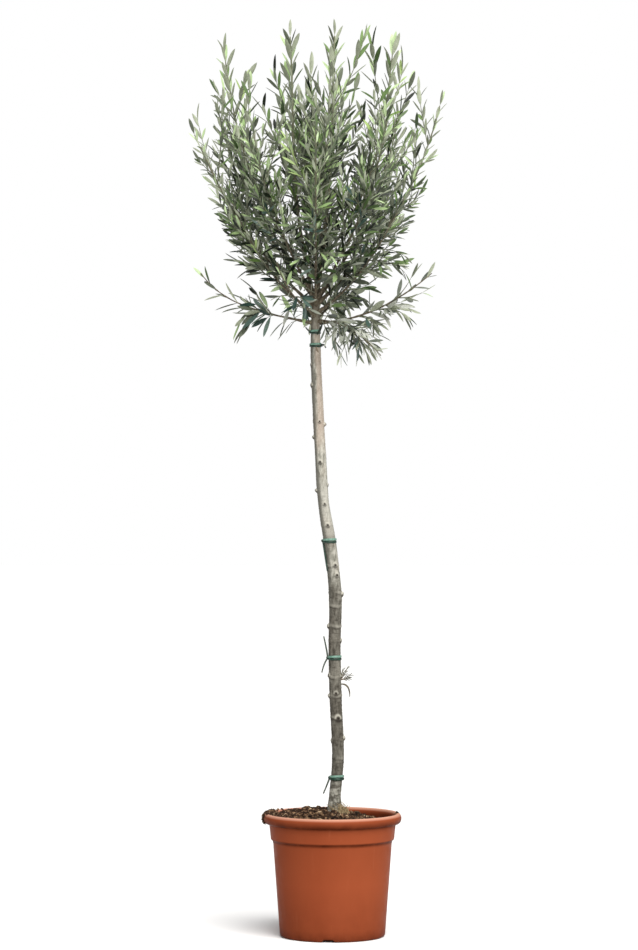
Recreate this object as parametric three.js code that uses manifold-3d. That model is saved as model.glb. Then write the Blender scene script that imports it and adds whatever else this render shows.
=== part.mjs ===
// Potted olive tree: a standard, with one clear stem and a loose bushy head, in a round plastic nursery pot.
// Millimetres, +Z up, the front to -Y. The origin is the middle of the pot's underside.

import * as THREE from "three";
import { mergeVertices } from "three/addons/utils/BufferGeometryUtils.js";
import Module from "manifold-3d";

const wasm = await Module();
wasm.setup();

// ---------------------------------------------------------------- driving dimensions

const GAP = 0.3; // kept between solids that touch

const POT = {
  sides: 30,
  height: 267,
  floor: 9, // thickness over the middle pad
  wall: 2.6,
  footRadius: 115, // of the body, just above the rounded corner at the foot
  cornerRadius: 8,
  shoulder: { height: 203, radius: 129 }, // the body's top
  collar: { low: 211, radius: 134, high: 244, highRadius: 137.5 }, // the band between body and lip
  lip: { radius: 150, depth: 22, thickness: 2.4, edge: -84, inner: 150 }, // a roll; degrees where it starts
  pad: { radius: 40, channel: 6, chamfer: 3, ringWidth: 13 }, // a raised channel between pad and foot ring
  notches: { count: 3, first: 265, width: 26, flare: 10, height: 5.5 }, // let water out of the channel
};

const SOIL = {
  ground: 270, // level of the ground round the trunk's foot
  level: 250, // along the pot's wall, on average
  lean: 11, // how much higher it lies towards leanTo, and lower on the other side
  leanTo: 150,
  moundRadius: 62,
  seatRadius: 30, // the flat patch that the trunk stands on
  lumps: 1.6,
  rings: [0.86, 0.66, 0.44], // circles of corners across its top, as shares of its radius
};

// The trunk from the ground to its fork: height, sideways and backwards sway, radius.
const TRUNK = [
  [270, 5, 0, 15.5],
  [300, 5, 0, 12.8],
  [393, 12, 3, 13.2],
  [510, 7, 8, 13.4],
  [621, 4.5, 10, 13.2],
  [740, 6, 6, 14.0],
  [850, -5, -2, 13.4],
  [948, -20, -6, 12.4],
  [1046, -26, -5, 12.0],
  [1177, -33, 0, 12.0],
  [1285, -37, 3, 11.2],
  [1345, -37, 3, 9.2],
  [1395, -36, 2, 7.8],
];
const TRUNK_SIDES = 8;
const TRUNK_STEPS = 24;

// Stubs of pruned side shoots on the trunk: height, compass direction, how far they stand out.
const STUBS = [
  [430, 0, 5],
  [521, 185, 4.5],
  [565, 355, 4.5],
  [673, 180, 5],
  [742, 350, 6],
  [893, 275, 4],
  [968, 185, 6],
  [1030, 262, 4],
  [1084, 178, 5.5],
  [1112, 352, 6.5],
  [1197, 195, 4],
];
const STUB_RADIUS = 3.6;

// Bands of tie tube: height on the trunk, thickness, how tall.
const TIES = [
  [344, 4.6, 10],
  [604, 2.6, 9],
  [859, 2.4, 9],
  [1284, 2.4, 8],
  [1313, 2.4, 8],
];

// The branches. Compass directions and reaches are taken from the crown's axis, which stands over the fork:
// 0 is to +X, 90 to the back and 270 to the front.
const CROWN_X = -36;
// The crown's outline, as height and reach: a low ring of branches, a waist, then a vase with upright tips.
const OUTLINE = [
  [1216, 130],
  [1320, 225],
  [1400, 265],
  [1466, 270],
  [1492, 192],
  [1600, 236],
  [1700, 272],
  [1835, 292],
  [1870, 228],
  [1965, 214],
  [1996, 110],
];
// name, what it grows from, at what height, its rise there; its tip's compass, reach, height, rise; radius
const BRANCHES = [
  ["top_centre", "trunk", 1388, 80, 15, 42, 1958, 88, 6.4],
  ["top_mid", "trunk", 1376, 70, 215, 68, 1950, 86, 5.8],
  ["top_left", "top_mid", 1452, 48, 175, 200, 1918, 82, 4.2],
  ["top_right", "top_centre", 1468, 50, 8, 170, 1934, 84, 4.2],
  ["top_front", "top_mid", 1490, 45, 285, 122, 1868, 80, 3.8],
  ["top_back", "top_centre", 1500, 48, 95, 130, 1884, 80, 3.8],
  ["left", "trunk", 1366, 40, 184, 264, 1740, 66, 4.6],
  ["left_low", "trunk", 1350, 34, 200, 192, 1588, 66, 4.2],
  ["right", "trunk", 1372, 40, 2, 270, 1806, 76, 4.6],
  ["right_low", "trunk", 1352, 32, 345, 196, 1592, 60, 4.2],
  ["front", "trunk", 1368, 40, 270, 214, 1730, 76, 4.2],
  ["front_left", "trunk", 1380, 46, 233, 222, 1738, 76, 4.0],
  ["front_right", "trunk", 1382, 46, 312, 226, 1752, 76, 4.0],
  ["back", "trunk", 1364, 42, 88, 224, 1750, 76, 4.2],
  ["back_left", "trunk", 1382, 46, 146, 262, 1812, 76, 4.0],
  ["back_right", "trunk", 1378, 46, 42, 244, 1790, 76, 4.0],
  ["low_left", "trunk", 1331, 12, 182, 250, 1440, 55, 3.8],
  ["low_right", "trunk", 1332, 2, 358, 252, 1440, 40, 3.8],
  ["low_droop", "trunk", 1336, 4, 324, 172, 1258, -44, 3.4],
  ["low_back", "trunk", 1340, 16, 72, 214, 1462, 50, 3.8],
  ["low_front", "trunk", 1346, 14, 246, 204, 1452, 50, 3.6],
];

const BEND = { start: 0.38, tip: 0.34 }; // share of its length that a branch holds its rise for at each end
const TIP_SHARE = 0.3; // a branch's radius at its tip, as a share of that at its foot
const BOUGH_SIDES = 5;
const BOUGH_STEPS = 3;

const TWIG = {
  shoots: 7, // side shoots on each stem
  length: 165, // of a shoot low on its stem, to the tip of its last leaf
  shorter: 0.35, // how much shorter one at the tip is
  shortest: 22, // with less room than this before its last leaf, a shoot isn't grown
  leaving: 44, // degrees from the stem
  lift: 0.5, // how far a shoot turns upwards
  radius: 1.8, // at most
  thinner: 0.75, // than the stem that it grows from
  tipRadius: 1.1,
  steps: 2,
};
const STEM_STEPS = 5;
const LEAF = {
  length: 84,
  width: 19,
  thickness: 1.7,
  sizes: [1, 0.8, 0.62], // tried in turn, largest first
  spacing: 46, // between pairs
  open: 42, // degrees from the shoot, low on it
  openAtTip: 22,
  upTo: 0.94, // share of the twig
  sunk: 0.4, // twig radii that the root goes past the twig's middle
  apart: 7, // from any other leaf or twig
};
const LAST_LEAF = { length: 66, sunk: 3 }; // at a shoot's tip
const GOLDEN_TURN = 137.5; // degrees round the stem from one shoot to the next
const BARE_FOOT = { stem: 0.12, shoot: 0.2 }; // share of each that carries no leaves
const STEM_FROM = 0.27; // along its branch, where the bough ends and the mass's own stem goes on
const SPACE_MARGIN = 1.2; // from a mass's own face to the edge of its space
const LIMB_MARGIN = 2.5; // from a leaf or twig to any trunk or bough

const COLOURS = {
  pot: { color: 0xad5a3a, roughness: 0.45 },
  soil: { color: 0x4a382c, roughness: 1 },
  bark: { color: 0x86817a, roughness: 0.9 },
  leaves: { color: 0x7d8f6e, roughness: 0.6 },
  tie: { color: 0x2f7f60, roughness: 0.5 },
};

// ---------------------------------------------------------------- helpers

const radians = THREE.MathUtils.degToRad;
const lerp = THREE.MathUtils.lerp;
const UP = new THREE.Vector3(0, 0, 1);

// A stream of numbers from 0 to 1 that is the same on every run.
function randomStream(seed) {
  let state = seed >>> 0;
  return () => {
    state = (Math.imul(state, 1664525) + 1013904223) >>> 0;
    return state / 4294967296;
  };
}

function polar(compass, reach, height) {
  const angle = radians(compass);
  return new THREE.Vector3(Math.cos(angle) * reach, Math.sin(angle) * reach, height);
}

function solidFrom(geometry) {
  const bare = geometry.clone();
  bare.deleteAttribute("normal");
  bare.deleteAttribute("uv");
  const merged = mergeVertices(bare, 1e-3);
  return new wasm.Manifold(
    new wasm.Mesh({
      numProp: 3,
      vertProperties: merged.attributes.position.array,
      triVerts: new Uint32Array(merged.index.array),
    }),
  );
}

// The largest body of a solid: cutting can leave scraps.
function largestBody(solid) {
  return solid.decompose().reduce((best, body) => (body.volume() > best.volume() ? body : best));
}

function namedMesh(name, solid, look) {
  const made = solid.getMesh();
  const geometry = new THREE.BufferGeometry()
    .setAttribute("position", new THREE.BufferAttribute(made.vertProperties, 3))
    .setIndex(new THREE.BufferAttribute(made.triVerts, 1));
  const mesh = new THREE.Mesh(geometry, new THREE.MeshStandardMaterial({ ...look, flatShading: true }));
  mesh.name = name;
  return mesh;
}

// A closed tube round a curve, whose radius follows radiusAt(share of the curve's length).
function taperedTube(curve, radiusAt, sides, steps) {
  const tube = new THREE.CylinderGeometry(1, 1, 1, sides, steps);
  const { normals, binormals } = curve.computeFrenetFrames(steps, false);
  const place = tube.attributes.position;
  for (let i = 0; i < place.count; i++) {
    const step = Math.round((place.getY(i) + 0.5) * steps);
    const radius = radiusAt(step / steps);
    const point = curve
      .getPointAt(step / steps)
      .addScaledVector(normals[step], place.getX(i) * radius)
      .addScaledVector(binormals[step], -place.getZ(i) * radius);
    place.setXYZ(i, point.x, point.y, point.z);
  }
  return tube;
}

// The stretch of another curve between two of its own parameters.
class Stretch extends THREE.Curve {
  constructor(whole, from, to) {
    super();
    Object.assign(this, { whole, from, to });
  }
  getPoint(share, target = new THREE.Vector3()) {
    return this.whole.getPoint(lerp(this.from, this.to, share), target);
  }
}

// The share of a rising curve at which it reaches a height.
function shareAtHeight(curve, height) {
  let low = 0;
  let high = 1;
  for (let i = 0; i < 40; i++) {
    const middle = (low + high) / 2;
    if (curve.getPoint(middle).z < height) low = middle;
    else high = middle;
  }
  return low;
}

function arcPoints(centreRadius, centreHeight, radius, height, from, to, steps) {
  return Array.from({ length: steps + 1 }, (_, i) => {
    const angle = radians(lerp(from, to, i / steps));
    const [across, up] = [Math.cos(angle) * radius, Math.sin(angle) * height];
    return new THREE.Vector2(centreRadius + across, centreHeight + up);
  });
}

function turned(profile) {
  return solidFrom(new THREE.LatheGeometry(profile, POT.sides).rotateX(Math.PI / 2));
}

// ---------------------------------------------------------------- pot and soil

function potProfile() {
  const { height, floor, wall, footRadius, cornerRadius, shoulder, collar, lip, pad } = POT;
  const ringOut = footRadius - cornerRadius;
  const rollMiddle = (lip.radius + collar.highRadius - wall) / 2;
  const rollWidth = (lip.radius - collar.highRadius + wall) / 2;
  const rollHeight = lip.depth / 2;
  const roll = (inset, from, to, steps) =>
    arcPoints(rollMiddle, height - rollHeight, rollWidth - inset, rollHeight - inset, from, to, steps);
  const p = (radius, level) => new THREE.Vector2(radius, level);
  return [
    p(0, 0),
    p(pad.radius, 0),
    p(pad.radius + pad.chamfer, pad.channel),
    p(ringOut - pad.ringWidth - pad.chamfer, pad.channel),
    p(ringOut - pad.ringWidth, 0),
    ...arcPoints(ringOut, cornerRadius, cornerRadius, cornerRadius, 270, 350, 2),
    p(shoulder.radius, shoulder.height),
    p(collar.radius, collar.low),
    p(collar.highRadius, collar.high),
    ...roll(lip.thickness, lip.inner, lip.edge + 12, 4),
    ...roll(0, lip.edge, 170, 6),
    p(collar.radius - wall, collar.low),
    p(shoulder.radius - wall, shoulder.height),
    p(footRadius - wall, floor),
    p(0, floor),
  ];
}

function notchCutter(compass) {
  const { width, flare, height } = POT.notches;
  const below = -1;
  const outline = new THREE.Shape();
  outline.moveTo(-width / 2, height);
  outline.lineTo(-(width + flare) / 2, below);
  outline.lineTo((width + flare) / 2, below);
  outline.lineTo(width / 2, height);
  const inside = POT.footRadius - 2.5 * POT.pad.ringWidth;
  const length = POT.footRadius - inside + 10;
  const cutter = new THREE.ExtrudeGeometry(outline, { depth: length, bevelEnabled: false });
  cutter.rotateX(Math.PI / 2).translate(0, -inside, 0);
  return solidFrom(cutter.rotateZ(radians(compass - 270)));
}

function makePot() {
  const { count, first } = POT.notches;
  let pot = turned(potProfile());
  for (let i = 0; i < count; i++) {
    pot = pot.subtract(notchCutter(first + (i * 360) / count));
  }
  return pot;
}

// Radius of the pot's inner wall at a level above its collar's foot.
function innerRadius(level) {
  const { collar, wall, height } = POT;
  return lerp(collar.radius, collar.highRadius, (level - collar.low) / (height - collar.low)) - wall;
}

function soilHeight(x, y) {
  const { ground, level, lean, leanTo, moundRadius, seatRadius } = SOIL;
  const radius = Math.hypot(x, y);
  if (radius < seatRadius + 1) return ground;
  const slope = lean * (radius / POT.footRadius) * Math.cos(Math.atan2(y, x) - radians(leanTo));
  const mound = (ground - level) * Math.exp(-(((radius - seatRadius) / moundRadius) ** 2));
  return level + slope + mound + SOIL.lumps * Math.sin(x / 9) * Math.cos(y / 11);
}

function makeSoil() {
  const bottom = POT.floor + GAP;
  const { seatRadius, level, rings } = SOIL;
  const wallRadius = innerRadius(level) - GAP;
  const profile = [
    new THREE.Vector2(0, bottom),
    new THREE.Vector2(POT.footRadius - POT.wall - GAP, bottom),
    new THREE.Vector2(POT.shoulder.radius - POT.wall - GAP, POT.shoulder.height),
    new THREE.Vector2(POT.collar.radius - POT.wall - GAP, POT.collar.low),
    new THREE.Vector2(wallRadius, level),
    ...rings.map((share) => new THREE.Vector2(wallRadius * share, level)),
    new THREE.Vector2(seatRadius, level),
    new THREE.Vector2(0, level),
  ];
  const body = new THREE.LatheGeometry(profile, POT.sides).rotateX(Math.PI / 2);
  const place = body.attributes.position;
  for (let i = 0; i < place.count; i++) {
    if (place.getZ(i) < level - 0.1) continue;
    const [x, y] = [place.getX(i), place.getY(i)];
    const top = soilHeight(x, y);
    const atWall = Math.hypot(x, y) > wallRadius - 0.1;
    const move = atWall ? (innerRadius(top) - GAP) / wallRadius : 1;
    place.setXYZ(i, x * move, y * move, top);
  }
  return solidFrom(body);
}

// ---------------------------------------------------------------- trunk and ties

const trunkCurve = new THREE.CatmullRomCurve3(
  TRUNK.map(([height, x, y]) => new THREE.Vector3(x, y, height)),
  false,
  "catmullrom",
);

function trunkRadius(height) {
  const above = TRUNK.findIndex(([level]) => level > height);
  if (above < 0) return TRUNK.at(-1)[3];
  if (above === 0) return TRUNK[0][3];
  const [lowLevel, , , lowRadius] = TRUNK[above - 1];
  const [highLevel, , , highRadius] = TRUNK[above];
  return lerp(lowRadius, highRadius, (height - lowLevel) / (highLevel - lowLevel));
}

function trunkTube(extraRadius) {
  const radiusAt = (share) => trunkRadius(trunkCurve.getPointAt(share).z) + extraRadius;
  return solidFrom(taperedTube(trunkCurve, radiusAt, TRUNK_SIDES, TRUNK_STEPS));
}

function stub([height, compass, proud]) {
  const middle = trunkCurve.getPoint(shareAtHeight(trunkCurve, height));
  const length = trunkRadius(height) + proud;
  const way = polar(compass, 1, 0.35).normalize();
  const shape = new THREE.CylinderGeometry(STUB_RADIUS * 0.6, STUB_RADIUS * 1.4, length, 5, 1);
  shape.translate(0, length / 2, 0);
  shape.applyQuaternion(new THREE.Quaternion().setFromUnitVectors(new THREE.Vector3(0, 1, 0), way));
  return solidFrom(shape.translate(middle.x, middle.y, middle.z));
}

function makeTrunk() {
  const below = new THREE.BoxGeometry(200, 200, 100).translate(0, 0, SOIL.ground + GAP - 50);
  return wasm.Manifold.union([trunkTube(0), ...STUBS.map(stub)]).subtract(solidFrom(below));
}

// A band of tie tube, snug round the trunk.
function makeTie([height, thickness, tall]) {
  const band = new THREE.BoxGeometry(100, 100, tall);
  const { x, y } = trunkCurve.getPoint(shareAtHeight(trunkCurve, height));
  const round = solidFrom(band.translate(x, y, height)).intersect(trunkTube(GAP + thickness));
  return round.subtract(trunkTube(GAP));
}

// ---------------------------------------------------------------- branches

const direction = (compass, rise) => polar(compass, Math.cos(radians(rise)), Math.sin(radians(rise)));

// The whole branch, from inside what it grows from to the tip of its mass, as one bend.
function branchFrom(row, grown) {
  const [name, parent, at, leaving, compass, reach, height, ending, radius] = row;
  const start = grown[parent].getPoint(shareAtHeight(grown[parent], at));
  const tip = polar(compass, reach, height).add(new THREE.Vector3(CROWN_X, 0, 0));
  const way = new THREE.Vector3().subVectors(tip, start);
  const outward = Math.atan2(way.y, way.x) * THREE.MathUtils.RAD2DEG;
  const curve = new THREE.CubicBezierCurve3(
    start,
    start.clone().addScaledVector(direction(outward, leaving), way.length() * BEND.start),
    tip.clone().addScaledVector(direction(compass, ending), -way.length() * BEND.tip),
    tip,
  );
  return { name, radius, curve, droops: tip.z < start.z };
}

const grown = { trunk: trunkCurve };
const branches = BRANCHES.map((row) => {
  const branch = branchFrom(row, grown);
  grown[branch.name] = branch.curve;
  return branch;
});

const branchRadius = (branch, share) => branch.radius * lerp(1, TIP_SHARE, Math.sqrt(share));

// Every mass's own stem as points joined by straight lines.
const STEM_PIECES = 12;
const stemLines = branches.map(({ curve }) =>
  Array.from({ length: STEM_PIECES }, (_, i) => {
    const at = (step) => curve.getPoint(lerp(STEM_FROM, 1, step / STEM_PIECES));
    return new THREE.Line3(at(i), at(i + 1));
  }),
);

function distanceToStem(index, point) {
  const nearest = new THREE.Vector3();
  const distance = (line) => line.closestPointToPoint(point, true, nearest).distanceTo(point);
  return Math.min(...stemLines[index].map(distance));
}

function insideOutline({ x, y, z }) {
  const above = OUTLINE.findIndex(([height]) => height > z);
  if (above <= 0) return false;
  const [lowHeight, lowReach] = OUTLINE[above - 1];
  const [highHeight, highReach] = OUTLINE[above];
  return Math.hypot(x - CROWN_X, y) < lerp(lowReach, highReach, (z - lowHeight) / (highHeight - lowHeight));
}

// How far a point lies inside the space of one mass: whatever lies nearer to its stem than to any other.
function depthInSpace(index, point) {
  const own = distanceToStem(index, point);
  const toOthers = Math.min(...branches.map((_, i) => (i === index ? Infinity : distanceToStem(i, point))));
  return (toOthers - own) / 2;
}

function boughTube(branch, extraRadius) {
  const bough = new Stretch(branch.curve, 0, STEM_FROM);
  const radiusAt = (share) => branchRadius(branch, share * STEM_FROM) + extraRadius;
  return solidFrom(taperedTube(bough, radiusAt, BOUGH_SIDES, BOUGH_STEPS));
}

// Every bough, each cut clear of the trunk and of the boughs before it.
function makeBoughs() {
  const cutters = [trunkTube(GAP)];
  return branches.map((branch) => {
    const bough = largestBody(cutters.reduce((left, cutter) => left.subtract(cutter), boughTube(branch, 0)));
    cutters.push(boughTube(branch, GAP));
    return bough;
  });
}

// ---------------------------------------------------------------- masses of foliage

// Points along every limb with its radius there, for keeping leaves clear of them.
const limbPoints = [];
for (let i = 0; i <= 200; i++) {
  const point = trunkCurve.getPoint(i / 200);
  limbPoints.push({ point, radius: trunkRadius(point.z) });
}
branches.forEach((branch) => {
  for (let i = 0; i <= 60; i++) {
    const share = (i / 60) * STEM_FROM;
    limbPoints.push({ point: branch.curve.getPoint(share), radius: branchRadius(branch, share) });
  }
});

function clearOfLimbs(point) {
  return limbPoints.every((limb) => limb.point.distanceTo(point) > limb.radius + LIMB_MARGIN);
}

function fits(index, points, margin) {
  return points.every(
    (point) => insideOutline(point) && depthInSpace(index, point) > margin && clearOfLimbs(point),
  );
}

// A unit vector square to a direction, turned round it.
function sideways(ahead, turn) {
  const other = Math.abs(ahead.z) < 0.9 ? UP : new THREE.Vector3(1, 0, 0);
  return new THREE.Vector3().crossVectors(ahead, other).normalize().applyAxisAngle(ahead, radians(turn));
}

// One leaf as a flat blade of four faces, keeled along its upper side, which looks along its own twig.
function leafSolid(root, way, shootWay, length) {
  const face = shootWay.clone().addScaledVector(way, -shootWay.dot(way)).normalize();
  const across = new THREE.Vector3().crossVectors(face, way);
  const blade = new THREE.TetrahedronGeometry(Math.sqrt(3), 0).rotateZ(-Math.PI / 4);
  const half = length / 2 / Math.SQRT2;
  blade.scale(half, (half * LEAF.width) / LEAF.length, LEAF.thickness / 2);
  blade.translate(length / 2, 0, -LEAF.thickness / 2);
  return solidFrom(blade.applyMatrix4(new THREE.Matrix4().makeBasis(way, across, face).setPosition(root)));
}

const pointsAlong = (from, way, length, shares) =>
  shares.map((share) => from.clone().addScaledVector(way, share * length));

// A leaf on a twig, at the largest of the sizes that fits between what is there. Null where none does.
function leafAt(mass, node, way, shootWay, length, sunk) {
  for (const size of LEAF.sizes) {
    const long = length * size;
    const blade = pointsAlong(node, way, long, [0.3, 0.45, 0.6, 0.75, 0.9]);
    const ends = pointsAlong(node, way, long, [0.15, 1]);
    const margin = (LEAF.width / 2) * (long / LEAF.length) + SPACE_MARGIN;
    const free = blade.every((point) => mass.taken.every((other) => other.distanceTo(point) > LEAF.apart));
    if (free && fits(mass.index, [...blade, ...ends], margin)) {
      mass.taken.push(...blade);
      return leafSolid(node.clone().addScaledVector(way, -sunk), way, shootWay, long + sunk);
    }
  }
  return null;
}

// Pairs of leaves along a twig, each pair square to the last, and one leaf at its tip.
function leavesAlong(mass, { curve, radiusAt, from }, random) {
  const leaves = [];
  const pairs = Math.max(1, Math.round((curve.getLength() * (1 - from)) / LEAF.spacing));
  const roll = random() * 90;
  const tipAhead = curve.getTangentAt(1);
  const { length: lastLength, sunk: lastSunk } = LAST_LEAF;
  leaves.push(leafAt(mass, curve.getPointAt(1), tipAhead, sideways(tipAhead, roll), lastLength, lastSunk));
  for (let pair = 0; pair < pairs; pair++) {
    const share = lerp(from, LEAF.upTo, (pair + 0.5) / pairs);
    const open = radians(lerp(LEAF.open, LEAF.openAtTip, share) + (random() - 0.5) * 14);
    const length = LEAF.length * lerp(1.05, 0.8, share) * lerp(0.85, 1.1, random());
    const ahead = curve.getTangentAt(share);
    for (const half of [0, 180]) {
      const side = sideways(ahead, roll + pair * 90 + half + (random() - 0.5) * 30);
      const way = ahead.clone().multiplyScalar(Math.cos(open)).addScaledVector(side, Math.sin(open));
      const sunk = (LEAF.sunk * radiusAt(share)) / Math.sin(open);
      leaves.push(leafAt(mass, curve.getPointAt(share), way, ahead, length, sunk));
    }
  }
  return leaves.filter(Boolean);
}

// A side shoot that bends upwards, cut short where its last leaf would leave the space. Null without room.
function shootFrom(index, stem, share, turn, length, lift) {
  const start = stem.getPointAt(share);
  const ahead = stem.getTangentAt(share);
  const leaving = ahead
    .clone()
    .multiplyScalar(Math.cos(radians(TWIG.leaving)))
    .addScaledVector(sideways(ahead, turn), Math.sin(radians(TWIG.leaving)));
  const ending = leaving.clone().multiplyScalar(1 - Math.abs(lift)).addScaledVector(UP, lift).normalize();
  const bend = start.clone().addScaledVector(leaving, length / 2);
  const tip = bend.clone().addScaledVector(ending, length / 2);
  const whole = new THREE.QuadraticBezierCurve3(start, bend, tip);
  const margin = LEAF.width * 0.4 + SPACE_MARGIN;
  const steps = 20;
  let end = 2; // its foot may touch its own bough
  while (end < steps && fits(index, [whole.getPoint((end + 1) / steps)], margin)) end++;
  const room = (end / steps) * whole.getLength() - LAST_LEAF.length;
  return room < TWIG.shortest ? null : new Stretch(whole, 0, room / whole.getLength());
}

function makeMass(branch, index) {
  const random = randomStream(1000 + index * 77);
  const startGap = GAP / branch.curve.getLength();
  const stem = new Stretch(branch.curve, STEM_FROM + startGap, 1);
  const stemRadius = (share) => branchRadius(branch, lerp(STEM_FROM, 1, share));
  const lift = branch.droops ? -TWIG.lift : TWIG.lift;
  const twigs = [{ curve: stem, radiusAt: stemRadius, from: BARE_FOOT.stem, steps: STEM_STEPS }];
  for (let i = 0; i < TWIG.shoots; i++) {
    const share = lerp(0.05, 0.85, (i + random()) / TWIG.shoots);
    const turn = i * GOLDEN_TURN + random() * 40;
    const length = TWIG.length * lerp(1, 1 - TWIG.shorter, share) * lerp(0.8, 1.15, random());
    const curve = shootFrom(index, stem, share, turn, length, lift);
    const radius = Math.min(TWIG.radius, TWIG.thinner * stemRadius(share));
    const radiusAt = (s) => lerp(radius, Math.min(radius, TWIG.tipRadius), s);
    if (curve) twigs.push({ curve, radiusAt, from: BARE_FOOT.shoot, steps: TWIG.steps });
  }
  const mass = { index, taken: twigs.flatMap(({ curve }) => curve.getSpacedPoints(12)) };
  const leaves = twigs.flatMap((twig) => leavesAlong(mass, twig, random));
  const wood = twigs.map(({ curve, radiusAt, steps }) => solidFrom(taperedTube(curve, radiusAt, 3, steps)));
  return largestBody(wasm.Manifold.union([...wood, ...leaves]));
}

// ---------------------------------------------------------------- assembly

const tree = new THREE.Group();
tree.name = "potted_olive_tree";
tree.add(namedMesh("pot", makePot(), COLOURS.pot));
tree.add(namedMesh("soil", makeSoil(), COLOURS.soil));
tree.add(namedMesh("trunk", makeTrunk(), COLOURS.bark));
TIES.forEach((row, i) => {
  tree.add(namedMesh(`tie_${i + 1}`, makeTie(row), COLOURS.tie));
});
makeBoughs().forEach((bough, i) => {
  tree.add(namedMesh(`bough_${branches[i].name}`, bough, COLOURS.bark));
});
branches.forEach((branch, i) => {
  tree.add(namedMesh(`mass_${branch.name}`, makeMass(branch, i), COLOURS.leaves));
});

export default tree;
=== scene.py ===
from functools import partial
from math import atan2, ceil, cos, degrees, hypot, pi, radians, sin

import bpy
import numpy as np
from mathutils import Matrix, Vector, noise


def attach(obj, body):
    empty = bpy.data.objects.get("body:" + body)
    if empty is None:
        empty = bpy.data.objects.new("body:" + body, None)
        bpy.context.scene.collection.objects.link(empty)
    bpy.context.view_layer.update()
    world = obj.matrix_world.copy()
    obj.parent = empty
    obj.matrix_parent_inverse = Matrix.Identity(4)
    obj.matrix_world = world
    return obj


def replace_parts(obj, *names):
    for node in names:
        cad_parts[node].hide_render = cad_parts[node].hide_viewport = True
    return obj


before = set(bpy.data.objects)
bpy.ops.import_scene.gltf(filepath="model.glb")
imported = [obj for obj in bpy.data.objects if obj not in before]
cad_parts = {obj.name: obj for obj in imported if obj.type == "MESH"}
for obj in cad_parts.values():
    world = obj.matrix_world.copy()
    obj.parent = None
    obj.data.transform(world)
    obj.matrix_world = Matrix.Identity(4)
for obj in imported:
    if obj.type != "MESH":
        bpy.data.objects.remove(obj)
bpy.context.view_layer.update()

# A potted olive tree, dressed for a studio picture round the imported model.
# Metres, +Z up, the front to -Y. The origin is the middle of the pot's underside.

# ---------------------------------------------------------------- driving dimensions

# Corners of the pot's wall, from the middle of its underside, up outside and down inside: radius, height and
# how far each is rounded. The lip between them is rolled over.
POT_OUTSIDE = [
    (0.0, 0.0, 0.0),
    (0.040, 0.0, 0.0012),
    (0.043, 0.006, 0.0012),
    (0.091, 0.006, 0.0012),
    (0.094, 0.0, 0.0012),
    (0.1142, 0.0, 0.0070),
    (0.1290, 0.203, 0.0030),
    (0.1306, 0.2082, 0.0004),
    (0.1340, 0.2112, 0.0012),
    (0.1375, 0.2440, 0.0010),
    (0.1379, 0.2560, 0.0020),
    (0.1450, 0.2590, 0.0030),
    (0.1458, 0.2500, 0.0030),
    (0.1425, 0.2472, 0.0008),
]
# The lip's rolled outside, from its lower edge over its top to the inner wall, as an ellipse.
POT_LIP = {"middle": 0.14245, "height": 0.256, "width": 0.0075, "rise": 0.011}
POT_LIP_TURN = (-82, 176, 30)  # degrees that it starts and ends at, and how many points it has
POT_INSIDE = [
    (0.1350, 0.2500, 0.0),
    (0.1314, 0.2110, 0.0016),
    (0.1264, 0.2030, 0.0016),
    (0.1124, 0.0090, 0.0050),
    (0.0, 0.0090, 0.0),
]
POT_SIDES = 288
POT_STEP = 0.006  # the longest along its outline
ROUNDING_STEPS = 5
# Where water gets out under the pot's foot. They start at a radius, and fade out at a height.
NOTCHES = {
    "first": 265,
    "count": 3,
    "half_width": 0.0150,
    "height": 0.0050,
    "edge": 0.006,
    "starts_at": 0.0925,
    "fades_at": 0.014,
}

SOIL = {
    "ground": 0.270,
    "level": 0.250,
    "lean": 0.011,
    "lean_to": 150,
    "mound_radius": 0.062,
    "seat_radius": 0.030,
    "edge": 0.1325,  # radius of its top, along the pot's wall
    "rings": 90,
    "sides": 220,
    "lump": 0.0040,
    "grain": 0.0022,
    "heap": 0.0018,  # how much higher loose soil lies part of the way out towards the lean's high side
    "heap_at": 0.078,
    "heap_width": 0.030,
    "sunk": 0.0015,  # how far its relief is lowered as a whole
}
# Its skin down the pot's wall, from the pot's floor up: radius and height of each ring.
SOIL_BELOW = [(0.1119, 0.0093), (0.1260, 0.203), (0.1309, 0.211)]
POT_FOOT_RADIUS = 0.115
CHIPS = {"count": 1100, "long": (0.004, 0.014), "thick": (0.0010, 0.0032), "raised": 0.0008}
CHIP_SPILT = (0.0042, 0.0022, 0.0014)  # half the size of the largest on the lip
CHIP_KINDS = [  # name, darkest and lightest colour, share of them all
    ("chips_dark", (0.014, 0.007, 0.004), (0.050, 0.024, 0.014), 0.48),
    ("chips_brown", (0.050, 0.025, 0.013), (0.180, 0.100, 0.052), 0.36),
    ("chips_pale", (0.310, 0.210, 0.120), (0.540, 0.400, 0.260), 0.16),
]
CLODS = {"count": 210, "size": (0.0028, 0.0074), "spilt": (0.0014, 0.0036)}
CLOD_ROWS, CLOD_SIDES = 7, 10
BARE_ROUND_TRUNK = {"clods": 0.019, "chips": 0.018}
# Loose soil on the pot's lip: compass, how many crumbs, how far they spread either way, and degrees round the
# roll that they lie between.
SPILLS = [(176, 150, 8.5, (-50, 175)), (162, 60, 7, (60, 178)), (1, 5, 1.2, (95, 150))]
MOSS = {"at": (0.019, -0.014), "reach": 0.019, "strands": 120, "length": 0.031, "radius": 0.0007}

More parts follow.
